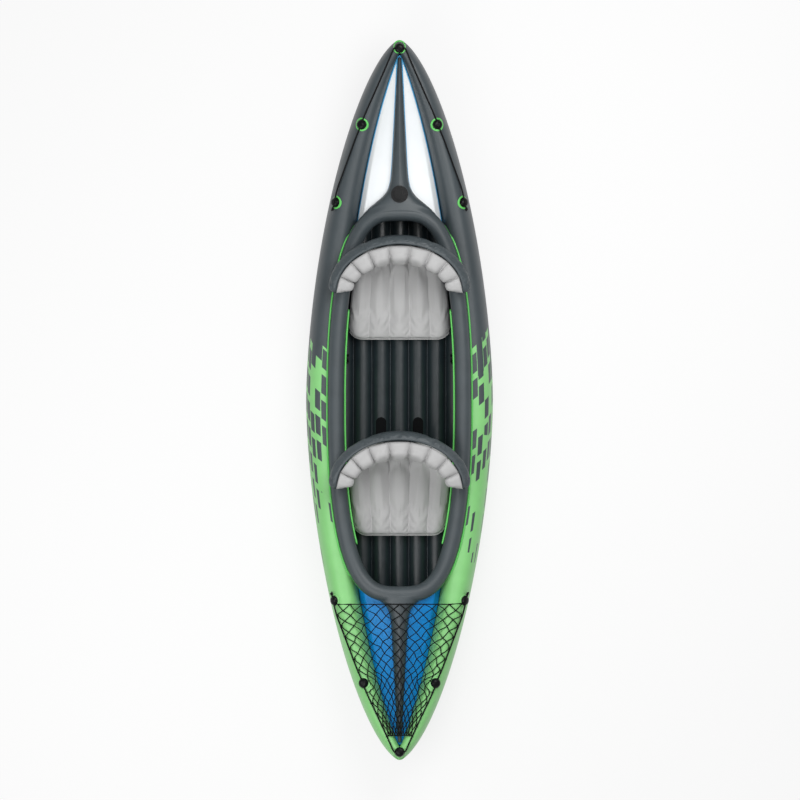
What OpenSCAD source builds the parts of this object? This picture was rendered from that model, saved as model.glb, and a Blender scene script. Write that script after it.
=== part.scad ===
// Inflatable kayak for two paddlers.
// Millimetres, +Z up, bow toward -Y, stern toward +Y, origin on the ground under the middle.

/* [Hull] */
// Overall length of the hull
hull_len = 3200; // [2900:10:3500]
// Greatest width over both side tubes
beam = 830; // [780:5:900]
// Height of the side tubes amidships
side_h = 250; // [225:5:280]
// Rise of the tube tops from amidships to the tips
sheer_rise = 125; // [90:5:160]
// Rise of the keel line at the tips
rocker = 220; // [180:5:240]
// Width of one side tube amidships
chamber_w = 168; // [150:2:185]
// Thickness of the bottom sheet
skin_t = 3; // [2:0.5:5]

/* [Cockpit] */
// Clear length of the cockpit opening
cockpit_len = 1624; // [1560:4:1680]
// Clear width of the cockpit opening
cockpit_w = 494; // [470:2:516]
// Diameter of the coaming tube
rim_d = 72; // [60:2:84]
// Height of the inflated floor
floor_h = 87; // [70:1:95]
// Spacing of the floor ridges
ridge_pitch = 82; // [74:1:88]
// Diameter of the piping beads along the coaming
piping_d = 8; // [6:1:10]

/* [Decks] */
// Thickness of the deck sheet
deck_t = 2; // [1.5:0.5:3]
// Height of the deck spine at the coaming
spine_root_h = 60; // [45:1:70]
// Height of the deck spine at its tip
spine_tip_h = 12; // [8:1:20]
// Width of the deck spine beside the coaming
spine_root_w = 88; // [70:2:100]
// Width of the deck spine at its tip
spine_tip_w = 16; // [12:1:24]

/* [Seats] */
// Hinge line of the rear seat, forward of the cockpit's stern end
rear_seat_gap = 194; // [186:1:206]
// Hinge line of the front seat, aft of the cockpit's bow end
front_seat_gap = 559; // [548:1:573]
// Width of a seat cushion
seat_w = 466; // [430:2:470]
// Length of a seat cushion
cushion_len = 327; // [300:1:340]
// Height of a seat cushion
cushion_h = 85; // [70:1:95]
// Span of the backrest arch across the cockpit
back_w = 564; // [540:2:580]
// Depth of the backrest arch from hinge line to its back
back_reach = 89; // [80:1:95]
// Thickness of the tufted pad
pad_t = 85; // [70:1:90]
// Thickness of the shell behind the pad
shell_t = 33; // [26:1:36]
// Height of the backrest top above the ground
back_top_z = 455; // [430:1:480]

/* [Fittings] */
// Diameter of a rope eyelet
eyelet_d = 44; // [38:1:48]
// Height of a rope eyelet
eyelet_h = 18; // [16:1:22]
// Outer diameter of an eyelet patch
patch_d = 60; // [56:1:70]
// Diameter of the grab lines
rope_d = 7; // [6:0.5:8]
// Width of a cargo net strand
strand_w = 4.4; // [3.4:0.1:5]
// Diameter of a valve flange
valve_d = 76; // [68:1:80]

/* [Hidden] */
// Clearance between pieces that touch in the finished boat
rest_gap = 0.4;
// Gap between the two side tubes where they meet at the tips
tip_gap = 0.3;
half_len = hull_len / 2;
tip_len = 60;
inner_len = half_len - tip_len;
inner_w = beam / 2 - chamber_w;
flat_share = 0.6;
hull_e = 2.4;
hull_rings = 34;
hull_sides = 24;
floor_z = skin_t + rest_gap;
floor_top = floor_z + floor_h;
// Middle of the cockpit, a little toward the bow
rim_shift = -16;
rear_seat_y = rim_shift + cockpit_len / 2 - rear_seat_gap;
front_seat_y = rim_shift - cockpit_len / 2 + front_seat_gap;

// Signed power keeps the sign of the base
function spow(v, e) = sign(v) * pow(abs(v), e);
function mix(a, b, t) = a + (b - a) * t;
function unit(v) = v / norm(v);
function ease(t) = let (q = min(1, max(0, t))) q * q * (3 - 2 * q);

// Plan outline, keel line and tube tops over the station s from -1 at the bow to 1 at the stern
function outer_x(s) = beam / 2 * pow(max(0, 1 - pow(abs(s), 1.7)), 0.65);
function inner_x(s) = inner_w * pow(max(0, 1 - s * s), 0.9);
function outer_pt(s) = [outer_x(s), half_len * s];
function inner_pt(s) = [inner_x(s), inner_len * s];
function keel_z(s) = rocker * pow(max(0, abs(s) - flat_share) / (1 - flat_share), 1.8);
function top_z(s) = side_h + sheer_rise * pow(abs(s), 2.5);
function base_z(s) = keel_z(s) + skin_t + rest_gap;
function mid_z(s) = (top_z(s) + base_z(s)) / 2;
function half_z(s) = (top_z(s) - base_z(s)) / 2;
function wall_x(y) = inner_x(min(1, abs(y) / inner_len));

// Stations crowd toward the tips, where the plan curves most
function station(v) = sign(v) * (1 - pow(1 - abs(v), 1.5));
stations = [for (k = [0 : hull_rings]) station(2 * k / hull_rings - 1)];

// Point of the right tube at station s and section angle a, 0 outboard and 90 on top
function hull_pt(s, a) =
    let (p = mix(inner_pt(s), outer_pt(s), 0.5 + 0.5 * spow(cos(a), 2 / hull_e)))
    [p[0] + tip_gap / 2, p[1], mid_z(s) + half_z(s) * spow(sin(a), 2 / hull_e)];

// Station whose section plane holds the plan point, and the share across the tube there
function station_at(x, y, lo = 0, hi = 1, n = 18) =
    let (m = (lo + hi) / 2, i = inner_pt(m), c = cross(outer_pt(m) - i, [x, y] - i))
    n == 0 ? m : c > 0 ? station_at(x, y, m, hi, n - 1) : station_at(x, y, lo, m, n - 1);
function share_at(x, y, s) =
    let (i = inner_pt(s), d = outer_pt(s) - i) (([x, y] - i) * d) / (d * d);

// Tube top over a plan point, 0 where no tube is below
function tube_top(x, y) =
    let (ax = abs(x), ay = abs(y), s = station_at(ax, ay), w = abs(2 * share_at(ax, ay, s) - 1))
    w < 1 ? mid_z(s) + half_z(s) * pow(1 - pow(w, hull_e), 1 / hull_e) : 0;

// Negative inside a side tube
function hull_f(p) =
    let (ax = abs(p[0]), ay = abs(p[1]), s = station_at(ax, ay), u = share_at(ax, ay, s))
    pow(abs(2 * u - 1), hull_e) + pow(abs(p[2] - mid_z(s)) / half_z(s), hull_e) - 1;
function hull_normal(p, d = 1.5) = unit([
    hull_f(p + [d, 0, 0]) - hull_f(p - [d, 0, 0]),
    hull_f(p + [0, d, 0]) - hull_f(p - [0, d, 0]),
    hull_f(p + [0, 0, d]) - hull_f(p - [0, 0, d])]);
function drop_to_hull(p, n, lo = 0, hi = 40, k = 14) =
    let (m = (lo + hi) / 2)
    k == 0 ? p - n * m
    : hull_f(p - n * m) > 0 ? drop_to_hull(p, n, m, hi, k - 1) : drop_to_hull(p, n, lo, m, k - 1);

// Skin over a list of rings that run so that first axis x second axis points against the travel.
// In a sheet the second half of each ring is the underside and gets the same diagonals as the top.
module loft(rings, closed = false, sheet = false) {
    n = len(rings[0]);
    m = len(rings);
    last = closed ? m - 1 : m - 2;
    top = (m - 1) * n;
    polyhedron(
        points = [for (r = rings) each r],
        faces = concat(
            [for (k = [0 : last]) for (j = [0 : n - 1])
                let (a = k * n, b = ((k + 1) % m) * n, i = (j + 1) % n)
                each sheet && j >= n / 2
                    ? [[a + j, a + i, b + j], [a + i, b + i, b + j]]
                    : [[a + j, a + i, b + i], [a + j, b + i, b + j]]],
            closed ? [] : [for (j = [0 : n / 2 - 2]) [j, n - 1 - j, j + 1]],
            closed ? [] : [for (j = [0 : n / 2 - 2]) [j + 1, n - 1 - j, n - 2 - j]],
            closed ? [] : [for (j = [0 : n / 2 - 2]) [top + j, top + j + 1, top + n - 1 - j]],
            closed ? [] : [for (j = [0 : n / 2 - 2]) [top + j + 1, top + n - 2 - j, top + n - 1 - j]]),
        convexity = 6);
}

module right_tube() {
    loft([for (s = stations) [for (j = [0 : hull_sides - 1]) hull_pt(s, 360 * j / hull_sides)]]);
}

module hull_right_chamber() {
    color("#8CC63F") right_tube();
}

module hull_left_chamber() {
    color("#8CC63F") mirror([1, 0, 0]) right_tube();
}

// Bottom sheet under the floor and the tubes
skin_share = 0.62;
skin_end = 0.985;
module bottom_skin() {
    color("#3B4147")
        loft([for (s = stations) let (
            q = max(-skin_end, min(skin_end, s)),
            p = mix(inner_pt(q), outer_pt(q), skin_share), z = keel_z(q))
            if (abs(s) < skin_end || s == stations[0] || s == stations[hull_rings])
            [[p[0], p[1], z], [p[0], p[1], z + skin_t], [-p[0], p[1], z + skin_t], [-p[0], p[1], z]]]);
}

// Inflated floor of lengthwise ridges
ridges = 5;
ridge_r = floor_h / 2;
groove_drop = 13;
floor_tuck = 58;
floor_half_len = cockpit_len / 2 + floor_tuck;
floor_steps = 12;
module ibeam_floor() {
    color("#26292C")
        intersection() {
            rotate([90, 0, 0])
                translate([0, 0, -floor_half_len])
                    linear_extrude(2 * floor_half_len) {
                        for (k = [-(ridges + 1) / 2 : (ridges + 1) / 2])
                            translate([k * ridge_pitch, floor_z + ridge_r])
                                circle(ridge_r, $fn = 48);
                        translate([-ridge_pitch * (ridges + 1) / 2, floor_z])
                            square([ridge_pitch * (ridges + 1), floor_h - groove_drop]);
                    }
            linear_extrude(floor_top + 1)
                polygon([
                    for (k = [-floor_steps : floor_steps]) let (y = floor_half_len * k / floor_steps)
                        [wall_x(y) - rest_gap, y],
                    for (k = [floor_steps : -1 : -floor_steps]) let (y = floor_half_len * k / floor_steps)
                        [rest_gap - wall_x(y), y]]);
        }
}

// Coaming tube round the cockpit, pressed flat where it lies on the side tubes
rim_r = rim_d / 2;
rim_ax = cockpit_w / 2 + rim_r;
rim_by = cockpit_len / 2 + rim_r;
rim_ex = 3.2;
rim_ey = 2.4;
rim_rise = 14;
rim_end_lift = 30;
rim_press = 1.5;
rim_rings = 56;
rim_sides = 12;
function rim_xy(t) = [rim_ax * spow(cos(t), 2 / rim_ex), rim_shift + rim_by * spow(sin(t), 2 / rim_ey)];
function rim_out(t) =
    let (p = rim_xy(t) - [0, rim_shift])
    unit([
        spow(p[0] / rim_ax, rim_ex - 1) * rim_ex / rim_ax,
        spow(p[1] / rim_by, rim_ey - 1) * rim_ey / rim_by]);
function rim_z(y) = side_h + rim_rise + rim_end_lift * pow(min(1, abs(y - rim_shift) / rim_by), 6);
function on_rim(t, d, a) =
    let (c = rim_xy(t), q = c + rim_out(t) * d * cos(a))
    [q[0], q[1], rim_z(c[1]) + d * sin(a)];
function lifted(p, gap) = [p[0], p[1], max(p[2], tube_top(p[0], p[1]) + gap)];
module cockpit_coaming() {
    color("#454C53")
        loft([for (k = [0 : rim_rings - 1]) [for (j = [0 : rim_sides - 1])
            lifted(on_rim(360 * k / rim_rings, rim_r, 360 * j / rim_sides), rim_press)]], closed = true);
}

// Deck sheets from the tube shoulder up to the centre line, e is 1 at the stern and -1 at the bow
crease_angle = 180 - asin(pow(0.45, hull_e / 2));
crease_gap = 0.7;
crease_start = 0.51;
crease_end = 0.992;
deck_cols = 6;
deck_rows = 14;
deck_tuck = (rim_r + rim_press) * cos(45);
deck_apex_lift = 4;
function crease(r) = hull_pt(mix(crease_start, crease_end, r), crease_angle) - [crease_gap, 0, 0];
function deck_ridge(r, e) =
    let (y0 = e * rim_shift + rim_by + deck_tuck, z0 = rim_z(rim_shift + rim_by) - deck_tuck, k = crease(1))
    [tip_gap / 2, mix(y0, k[1] + deck_apex_lift, r), mix(z0, k[2] + deck_apex_lift, r)];
function under_rim(c, e) =
    let (x = crease(0)[0] * (1 - c),
        y = (rim_by + deck_tuck) * pow(1 - pow(x / (rim_ax + deck_tuck), rim_ex), 1 / rim_ey))
    [x, e * rim_shift + y, rim_z(rim_shift + y * rim_by / (rim_by + deck_tuck)) - deck_tuck];
function deck_pt(r, c, e) =
    let (k = mix(crease(r), deck_ridge(r, e), c), k0 = mix(crease(0), deck_ridge(0, e), c),
        u = c == 0 ? crease(0) : under_rim(c, e), w = pow(1 - r, 3))
    [k[0], k[1] + (u[1] - k0[1]) * w, k[2] + (u[2] - k0[2]) * w];
module deck_panel(e) {
    loft([for (i = [0 : deck_rows]) let (r = i / deck_rows) concat(
        [for (j = [0 : deck_cols]) deck_pt(r, j / deck_cols, e)],
        [for (j = [deck_cols : -1 : 0]) deck_pt(r, j / deck_cols, e) - [0, 0, deck_t]])], sheet = true);
}

module stern_deck_right() {
    color("#E9EEF0") deck_panel(1);
}

module stern_deck_left() {
    color("#E9EEF0") mirror([1, 0, 0]) deck_panel(1);
}

module bow_deck_right() {
    color("#2F9BD8") mirror([0, 1, 0]) deck_panel(-1);
}

module bow_deck_left() {
    color("#2F9BD8") mirror([1, 0, 0]) mirror([0, 1, 0]) deck_panel(-1);
}

// Raised spine along the middle of each deck, flaring into the coaming
spine_start = 0.021;
spine_end = 0.985;
spine_rows = 13;
spine_cols = 8;
spine_e = 2.6;
spine_seat = 1.6;
stern_flare = [200, 30];
bow_flare = [70, 25];
function spine_r(i) = mix(spine_start, spine_end, pow(i / spine_rows, 1.5));
// Half width of the spine with a flare of [width, run] at its root
function spine_hw(r, e) =
    let (flare = e > 0 ? stern_flare : bow_flare)
    mix(spine_root_w, spine_tip_w, r) / 2
    + flare[0] * exp(-(deck_ridge(r, e)[1] - deck_ridge(0, e)[1]) / flare[1]);
function spine_pt(r, t, e, up) =
    let (x = t * spine_hw(r, e), p = deck_pt(r, 1 - abs(x) / crease(r)[0], e),
        h = mix(spine_root_h, spine_tip_h, r) * pow(max(0, 1 - pow(abs(t), spine_e)), 1 / spine_e))
    [x, p[1], p[2] + spine_seat + h * up];
module spine(e) {
    loft([for (i = [0 : spine_rows]) let (r = spine_r(i)) concat(
        [for (j = [0 : spine_cols]) spine_pt(r, 1 - 2 * j / spine_cols, e, 1)],
        [for (j = [1 : spine_cols - 1]) spine_pt(r, 2 * j / spine_cols - 1, e, 0)])]);
}

module stern_spine() {
    color("#454C53") spine(1);
}

module bow_spine() {
    color("#454C53") mirror([0, 1, 0]) spine(-1);
}

// Piping beads along both edges of the coaming, at the sides only
bead_r = piping_d / 2;
bead_gap = rim_r + bead_r + rest_gap;
bead_sides = 6;
bead_inner_angle = 180;
bead_low = -35;
bead_high = 40;
// First and last coaming station of each bead
bead_outer_run = [-11, 10];
bead_inner_run = [-7, 4];
// Angle round the coaming where a bead just rests on the side tube
function bead_angle(t, lo = bead_low, hi = bead_high, n = 12) =
    let (m = (lo + hi) / 2, p = on_rim(t, bead_gap, m))
    n == 0 ? m : p[2] > tube_top(p[0], p[1]) + bead_r + rest_gap
        ? bead_angle(t, lo, m, n - 1) : bead_angle(t, m, hi, n - 1);
function bead_ring(t, a, shrink) =
    let (c = on_rim(t, bead_gap, a), o = rim_out(t))
    [for (j = [0 : bead_sides - 1]) let (b = 360 * j / bead_sides)
        c + bead_r * shrink * [o[0] * cos(b), o[1] * cos(b), sin(b)]];
module bead(run, angle) {
    loft([for (k = [run[0] : run[1]]) let (t = 360 * k / rim_rings)
        bead_ring(t, is_undef(angle) ? bead_angle(t) : angle, k == run[0] || k == run[1] ? 0.5 : 1)]);
}

module coaming_piping_outer() {
    color("#9BE02A") {
        bead(bead_outer_run);
        mirror([1, 0, 0]) bead(bead_outer_run);
    }
}

module coaming_piping_inner() {
    color("#9BE02A") {
        bead(bead_inner_run, bead_inner_angle);
        mirror([1, 0, 0]) bead(bead_inner_run, bead_inner_angle);
    }
}

// Rope eyelets at [station, share across the tube]
rope_r = rope_d / 2;
bow_fix = [[0.560, 0.85], [0.798, 0.62], [1, 0.42]];
stern_fix = [[0.553, 0.80], [0.777, 0.60], [1, 0.42]];
tip_patch = 0.93;
patch_t = 2.5;
patch_steps = 14;
bore_h = eyelet_h * 0.55;
bore_clear = 0.7;
function fix_plan(f) = mix(inner_pt(f[0]), outer_pt(f[0]), f[1]);
// Five plan points from port round the tip to starboard
function line_plan(fix, e) = let (q = [for (f = fix) fix_plan(f)]) [
    [-q[0][0], e * q[0][1]], [-q[1][0], e * q[1][1]], [0, e * q[2][1]],
    [q[1][0], e * q[1][1]], [q[0][0], e * q[0][1]]];
function on_hull(p) = [p[0], p[1], tube_top(p[0], p[1])];
function line_dir(plan, k) = unit(plan[min(4, k + 1)] - plan[max(0, k - 1)]);
// Frame of eyelet k as [foot, along the rope, across it, outward]
function eyelet_frame(plan, k) =
    let (p = on_hull(plan[k]), n = hull_normal(p), d = line_dir(plan, k), f = [d[0], d[1], 0],
        t = unit(f - n * (f * n)))
    [p, t, cross(n, t), n];
module at_frame(f, lift) {
    o = f[0] + f[3] * lift;
    multmatrix([
        [f[1][0], f[2][0], f[3][0], o[0]],
        [f[1][1], f[2][1], f[3][1], o[1]],
        [f[1][2], f[2][2], f[3][2], o[2]],
        [0, 0, 0, 1]])
        children();
}
module eyelet() {
    r = eyelet_d / 2;
    difference() {
        rotate_extrude($fn = 40)
            polygon([[0, 0], [r, 0], [r, 0.2 * eyelet_h], [0.88 * r, 0.6 * eyelet_h],
                [0.66 * r, 0.88 * eyelet_h], [0.35 * r, eyelet_h], [0, eyelet_h]]);
        translate([0, 0, bore_h])
            rotate([0, 90, 0])
                cylinder(r = rope_r + bore_clear, h = 2 * eyelet_d, center = true, $fn = 32);
    }
}
module eyelet_row(fix, e) {
    plan = line_plan(fix, e);
    for (k = [0 : 4])
        at_frame(eyelet_frame(plan, k), rest_gap)
            eyelet();
}
function patch_edge(f, r, up) = [for (j = [0 : patch_steps - 1]) let (a = 360 * j / patch_steps)
    drop_to_hull(f[0] + f[1] * r * cos(a) + f[2] * r * sin(a) + f[3] * 2, f[3]) + f[3] * (2.5 * rest_gap + up)];
module patch(f, r1) {
    r0 = (eyelet_d / 2 + rest_gap) / cos(180 / patch_steps);
    a0 = patch_edge(f, r0, 0);
    b0 = patch_edge(f, r1, 0);
    b1 = patch_edge(f, r1, patch_t);
    a1 = patch_edge(f, r0, patch_t);
    loft([for (j = [0 : patch_steps - 1]) [b0[j], b1[j], a1[j], a0[j]]], closed = true);
}
module patch_row(fix, e) {
    plan = line_plan(fix, e);
    for (k = [0 : 4])
        patch(eyelet_frame(plan, k), patch_d / 2 * (k == 2 ? tip_patch : 1));
}

module stern_eyelets() {
    color("#161819") eyelet_row(stern_fix, 1);
}

module bow_eyelets() {
    color("#161819") eyelet_row(bow_fix, -1);
}

module stern_eyelet_patches() {
    color("#9BE02A") patch_row(stern_fix, 1);
}

module bow_eyelet_patches() {
    color("#8CC63F") patch_row(bow_fix, -1);
}

// Grab lines, one rope through the five eyelets of each end with a stopper knot at both ends
rope_sides = 8;
rope_reach = 24;
rope_lift = 1.4;
knot_r = 0.92 * rope_d;
span_steps = 7;
// End, middle and start of a stopper knot beside an eyelet, as shares of the reach
knot_run = [1.65, 1.5, 1.25];
function rope_gate(f, d) = f[0] + f[3] * (rest_gap + bore_h) + f[1] * d;
function rope_span(a, b) = [for (j = [1 : span_steps - 1])
    let (p = on_hull(mix(a, b, j / span_steps)))
    p + hull_normal(p) * (rope_r + rope_lift)];
function rope_route(plan) =
    let (f = [for (k = [0 : 4]) eyelet_frame(plan, k)])
    concat(
        [for (d = knot_run) rope_gate(f[0], -d * rope_reach)],
        [for (k = [0 : 4]) each concat(
            [for (d = [-1, 0, 1]) rope_gate(f[k], d * rope_reach)],
            k < 4 ? rope_span(rope_gate(f[k], rope_reach), rope_gate(f[k + 1], -rope_reach)) : [])],
        [for (d = [2 : -1 : 0]) rope_gate(f[4], knot_run[d] * rope_reach)]);
function rope_radius(i, n) = let (k = min(i, n - 1 - i)) k == 0 ? 0.6 * rope_r : k < 3 ? knot_r : rope_r;
module rope(plan) {
    q = rope_route(plan);
    n = len(q);
    loft([for (i = [0 : n - 1]) let (
        t = unit(q[min(n - 1, i + 1)] - q[max(0, i - 1)]), s = unit(cross(t, [0, 0, 1])), u = cross(s, t))
        [for (j = [0 : rope_sides - 1]) let (a = 360 * j / rope_sides)
            q[i] + rope_radius(i, n) * (s * cos(a) + u * sin(a))]]);
}

module stern_grab_line() {
    color("#101112") rope(line_plan(stern_fix, 1));
}

module bow_grab_line() {
    color("#101112") rope(line_plan(bow_fix, -1));
}

// Cargo net of diamonds over the bow deck, hung between the two sides of the bow grab line
net_cols = 10;
net_rows = 24;
net_tip_share = 0.24;
net_gap = 8;
net_t = 3;
net_clear = 5;
net_edge_lift = 2.4;
net_drape = 1.25;
net_hub = strand_w * 0.9;
net_bump_mid = 33;
net_bump_root = 72;
net_bump_len = 35;
// Edge of the net beside the bow grab line, drawn in past the eyelets
bow_plan = line_plan(bow_fix, -1);
bow_lines = [for (g = [[4, 1], [4, -1], [3, 1], [3, -1], [2, 1]])
    let (p = rope_gate(eyelet_frame(bow_plan, g[0]), g[1] * rope_reach)) [-p[1], p[0]]];
function net_y(k) =
    mix(rim_shift - rim_by - rim_r - net_gap, mix(bow_plan[2][1], bow_plan[3][1], net_tip_share),
        k / net_rows);
function net_draw(y, k, bump) = bump * exp(-pow((y - bow_plan[k][1]) / net_bump_len, 2));
function net_edge(y) =
    let (x = lookup(-y, bow_lines), n = hull_normal(on_hull([x, y])),
        in = net_draw(y, 3, net_bump_mid) + net_draw(y, 4, net_bump_root),
        p = on_hull([x - net_hub - (rope_r + 2 * rest_gap + in) * n[2], y]))
    p + [n[0], 0, n[2]] * (rope_r + net_edge_lift + net_t / 2);
// Tent from the spine to the edges, kept above the tubes
function bow_ridge_r(y) =
    let (a = deck_ridge(0, -1)[1], b = deck_ridge(1, -1)[1]) max(0, min(1, (-y - a) / (b - a)));
function tent_z(x, y, edge) =
    let (c = spine_pt(bow_ridge_r(y), 0, -1, 1)[2] + net_t + net_clear)
    max(mix(c, edge[2], pow(abs(x) / edge[0], net_drape)), tube_top(x, y) + net_t + net_clear);
function net_count(k) = net_cols + 1 - k % 2;
function net_node(k, i) =
    let (y = net_y(k), q = (2 * i + k % 2) / net_cols - 1, e = net_edge(y))
    [q * e[0], y, abs(q) == 1 ? e[2] : tent_z(q * e[0], y, e)];
function net_first(k) = k == 0 ? 0 : net_first(k - 1) + net_count(k - 1);
// Cord along the net's first row, from one side of the bow line to the other
border_sides = 6;
module net_border() {
    y = net_y(0);
    e = net_edge(y);
    r = strand_w / 2;
    loft([for (j = [-net_cols : net_cols]) let (x = j / net_cols * e[0],
        c = [x, y + net_hub + r + rest_gap, (abs(j) == net_cols ? e[2] : tent_z(x, y, e)) - net_t / 2])
        [for (i = [0 : border_sides - 1]) let (a = 360 * i / border_sides)
            c + [0, r * sin(a), r * cos(a)]]]);
}
// Hub corners run right, up, left, down in plan, first on the top face and then on the bottom face
hub_dirs = [[1, 0, 0], [0, -1, 0], [-1, 0, 0], [0, 1, 0]];
module cargo_net() {
    nodes = [for (k = [0 : net_rows]) for (i = [0 : net_count(k) - 1]) net_node(k, i)];
    first = [for (k = [0 : net_rows]) net_first(k)];
    // Neighbour of node i in row k toward row k + dk on side dx, or -1 beyond the edge
    nb = function (k, i, dk, dx)
        let (q = k + dk, j = i + (k % 2 == 0 ? (dx > 0 ? 0 : -1) : (dx > 0 ? 1 : 0)))
        q < 0 || q > net_rows || j < 0 || j >= net_count(q) ? -1 : first[q] + j;
    // Corner c of hub h on the top (0) or bottom (4)
    at = function (h, c, low) h * 8 + c % 4 + low;
    // Sides of a hub between corners c and c + 1: right-bow, left-bow, left-stern, right-stern
    side = function (k, i, c) nb(k, i, c < 2 ? 1 : -1, c == 0 || c == 3 ? 1 : -1);
    color("#101112") {
        net_border();
        polyhedron(
            points = [for (n = nodes) each concat(
                [for (d = hub_dirs) n + d * net_hub],
                [for (d = hub_dirs) n + d * net_hub - [0, 0, net_t]])],
            faces = concat(
                [for (h = [0 : len(nodes) - 1]) each [
                    [at(h, 0, 0), at(h, 1, 0), at(h, 2, 0)], [at(h, 0, 0), at(h, 2, 0), at(h, 3, 0)],
                    [at(h, 2, 4), at(h, 1, 4), at(h, 0, 4)], [at(h, 3, 4), at(h, 2, 4), at(h, 0, 4)]]],
                [for (k = [0 : net_rows]) for (i = [0 : net_count(k) - 1]) for (c = [0 : 3])
                    let (h = first[k] + i, g = side(k, i, c), d = (c + 1) % 4)
                    each g < 0
                    ? [[at(h, d, 0), at(h, c, 0), at(h, c, 4)], [at(h, d, 0), at(h, c, 4), at(h, d, 4)]]
                    : c < 2
                    ? let (e = (c + 3) % 4, f = (c + 2) % 4) [
                        [at(h, d, 0), at(h, c, 0), at(g, e, 0)], [at(h, d, 0), at(g, e, 0), at(g, f, 0)],
                        [at(h, c, 4), at(h, d, 4), at(g, f, 4)], [at(h, c, 4), at(g, f, 4), at(g, e, 4)],
                        [at(h, c, 0), at(h, c, 4), at(g, e, 4)], [at(h, c, 0), at(g, e, 4), at(g, e, 0)],
                        [at(h, d, 4), at(h, d, 0), at(g, f, 0)], [at(h, d, 4), at(g, f, 0), at(g, f, 4)]]
                    : []]),
            convexity = 10);
    }
}

// Inflation valves: flange, collar with a bore and a cap on a hinge lug
wall_valve_d = 60;
floor_valve_d = 52;
flange_t = 3;
collar_h = 8;
cap_h = 6;
plug_h = 5;
lug_w = 12;
lug_reach = 6;
collar_share = 0.66;
bore_share = 0.5;
plug_share = 0.44;
module valve_body(r) {
    difference() {
        union() {
            cylinder(r = r, h = flange_t, $fn = 64);
            translate([0, 0, flange_t])
                cylinder(r = collar_share * r, h = collar_h, $fn = 64);
            translate([0, -lug_w / 2, flange_t + collar_h / 2])
                cube([collar_share * r + lug_reach, lug_w, collar_h / 2]);
        }
        translate([0, 0, flange_t])
            cylinder(r = bore_share * r, h = collar_h + 1, $fn = 64);
    }
}
module valve_cap(r) {
    z = flange_t + collar_h + rest_gap;
    translate([0, 0, z])
        cylinder(r = collar_share * r, h = cap_h, $fn = 64);
    translate([0, 0, z - plug_h])
        cylinder(r = plug_share * r, h = plug_h + 1, $fn = 64);
    translate([0, -lug_w / 2, z])
        cube([collar_share * r + lug_reach, lug_w, cap_h / 2]);
}

// Stern valve on the root of the stern spine, hinge lug aft
stern_valve_gap = 9;
stern_valve_y = rim_shift + rim_by + rim_r + stern_valve_gap + valve_d / 2;
function spine_top(y) =
    let (a = deck_ridge(0, 1)[1], b = deck_ridge(1, 1)[1]) spine_pt((y - a) / (b - a), 0, 1, 1)[2];
module at_stern_valve() {
    z = max(spine_top(stern_valve_y - valve_d / 2), spine_top(stern_valve_y + valve_d / 2));
    translate([0, stern_valve_y, z + rest_gap])
        rotate([0, 0, 90])
            children();
}
// Side tube valves on the inner walls, hinge lug toward the bow
wall_valve_gap = 90;
wall_valve_y = rear_seat_y - cushion_len - wall_valve_gap;
wall_valve_z = 140;
wall_press = 0.9;
module at_wall_valve() {
    translate([wall_x(wall_valve_y) + tip_gap / 2 - wall_press, wall_valve_y, wall_valve_z])
        rotate([0, -90, 0])
            rotate([0, 0, -90])
                children();
}
// Floor valve on the middle ridge under the stern deck, hinge lug aft
floor_valve_y = floor_half_len - floor_valve_d / 2 - 6;
module at_floor_valve() {
    translate([0, floor_valve_y, floor_top + rest_gap])
        rotate([0, 0, 90])
            children();
}

module stern_valve_body() {
    color("#161819") at_stern_valve() valve_body(valve_d / 2);
}

module stern_valve_cap() {
    color("#161819") at_stern_valve() valve_cap(valve_d / 2);
}

module right_hull_valve_body() {
    color("#161819") at_wall_valve() valve_body(wall_valve_d / 2);
}

module right_hull_valve_cap() {
    color("#161819") at_wall_valve() valve_cap(wall_valve_d / 2);
}

module left_hull_valve_body() {
    color("#161819") mirror([1, 0, 0]) at_wall_valve() valve_body(wall_valve_d / 2);
}

module left_hull_valve_cap() {
    color("#161819") mirror([1, 0, 0]) at_wall_valve() valve_cap(wall_valve_d / 2);
}

module floor_valve_body() {
    color("#161819") at_floor_valve() valve_body(floor_valve_d / 2);
}

module floor_valve_cap() {
    color("#161819") at_floor_valve() valve_cap(floor_valve_d / 2);
}

// Seat anchor patches bent over two floor ridges
anchor_gap = 155;
anchor_y = front_seat_y + anchor_gap;
anchor_w = 46;
anchor_len = 75;
anchor_t = 2.5;
module anchor_patch() {
    intersection() {
        translate([0, anchor_y, floor_z + ridge_r])
            rotate([90, 0, 0])
                difference() {
                    cylinder(r = ridge_r + rest_gap + anchor_t, h = anchor_len, center = true, $fn = 96);
                    cylinder(r = ridge_r + rest_gap, h = anchor_len + 2, center = true, $fn = 96);
                }
        translate([0, anchor_y, floor_z + ridge_r])
            linear_extrude(floor_h) {
                translate([-anchor_w / 2, -anchor_len / 2])
                    square([anchor_w, anchor_len - anchor_w / 2]);
                translate([0, anchor_len / 2 - anchor_w / 2])
                    circle(d = anchor_w, $fn = 48);
            }
    }
}

module floor_anchor_patches() {
    color("#101112")
        for (x = [-ridge_pitch, ridge_pitch])
            translate([x, 0, 0])
                anchor_patch();
}

// Seat cushion of lengthwise channels, y measured from the hinge line
channels = 5;
channel_rings = 6;
cushion_sides = 20;
cushion_e = 4;
cushion_back = 78;
cushion_corner = 60;
corner_share = 0.72;
channel_dip = 0.26;
seat_wall_gap = 12;
cushion_z = floor_top + rest_gap;
// Height of the cushion crest at y from the hinge line
function crest_z(y) =
    let (m = (cushion_back - cushion_len) / 2, h = (cushion_back + cushion_len) / 2)
    cushion_z + cushion_h / 2 * (1 + pow(max(0, 1 - pow(abs(y - m) / h, cushion_e)), 1 / cushion_e));
function seat_hw(y) = min(seat_w / 2, wall_x(y) - seat_wall_gap);
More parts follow.
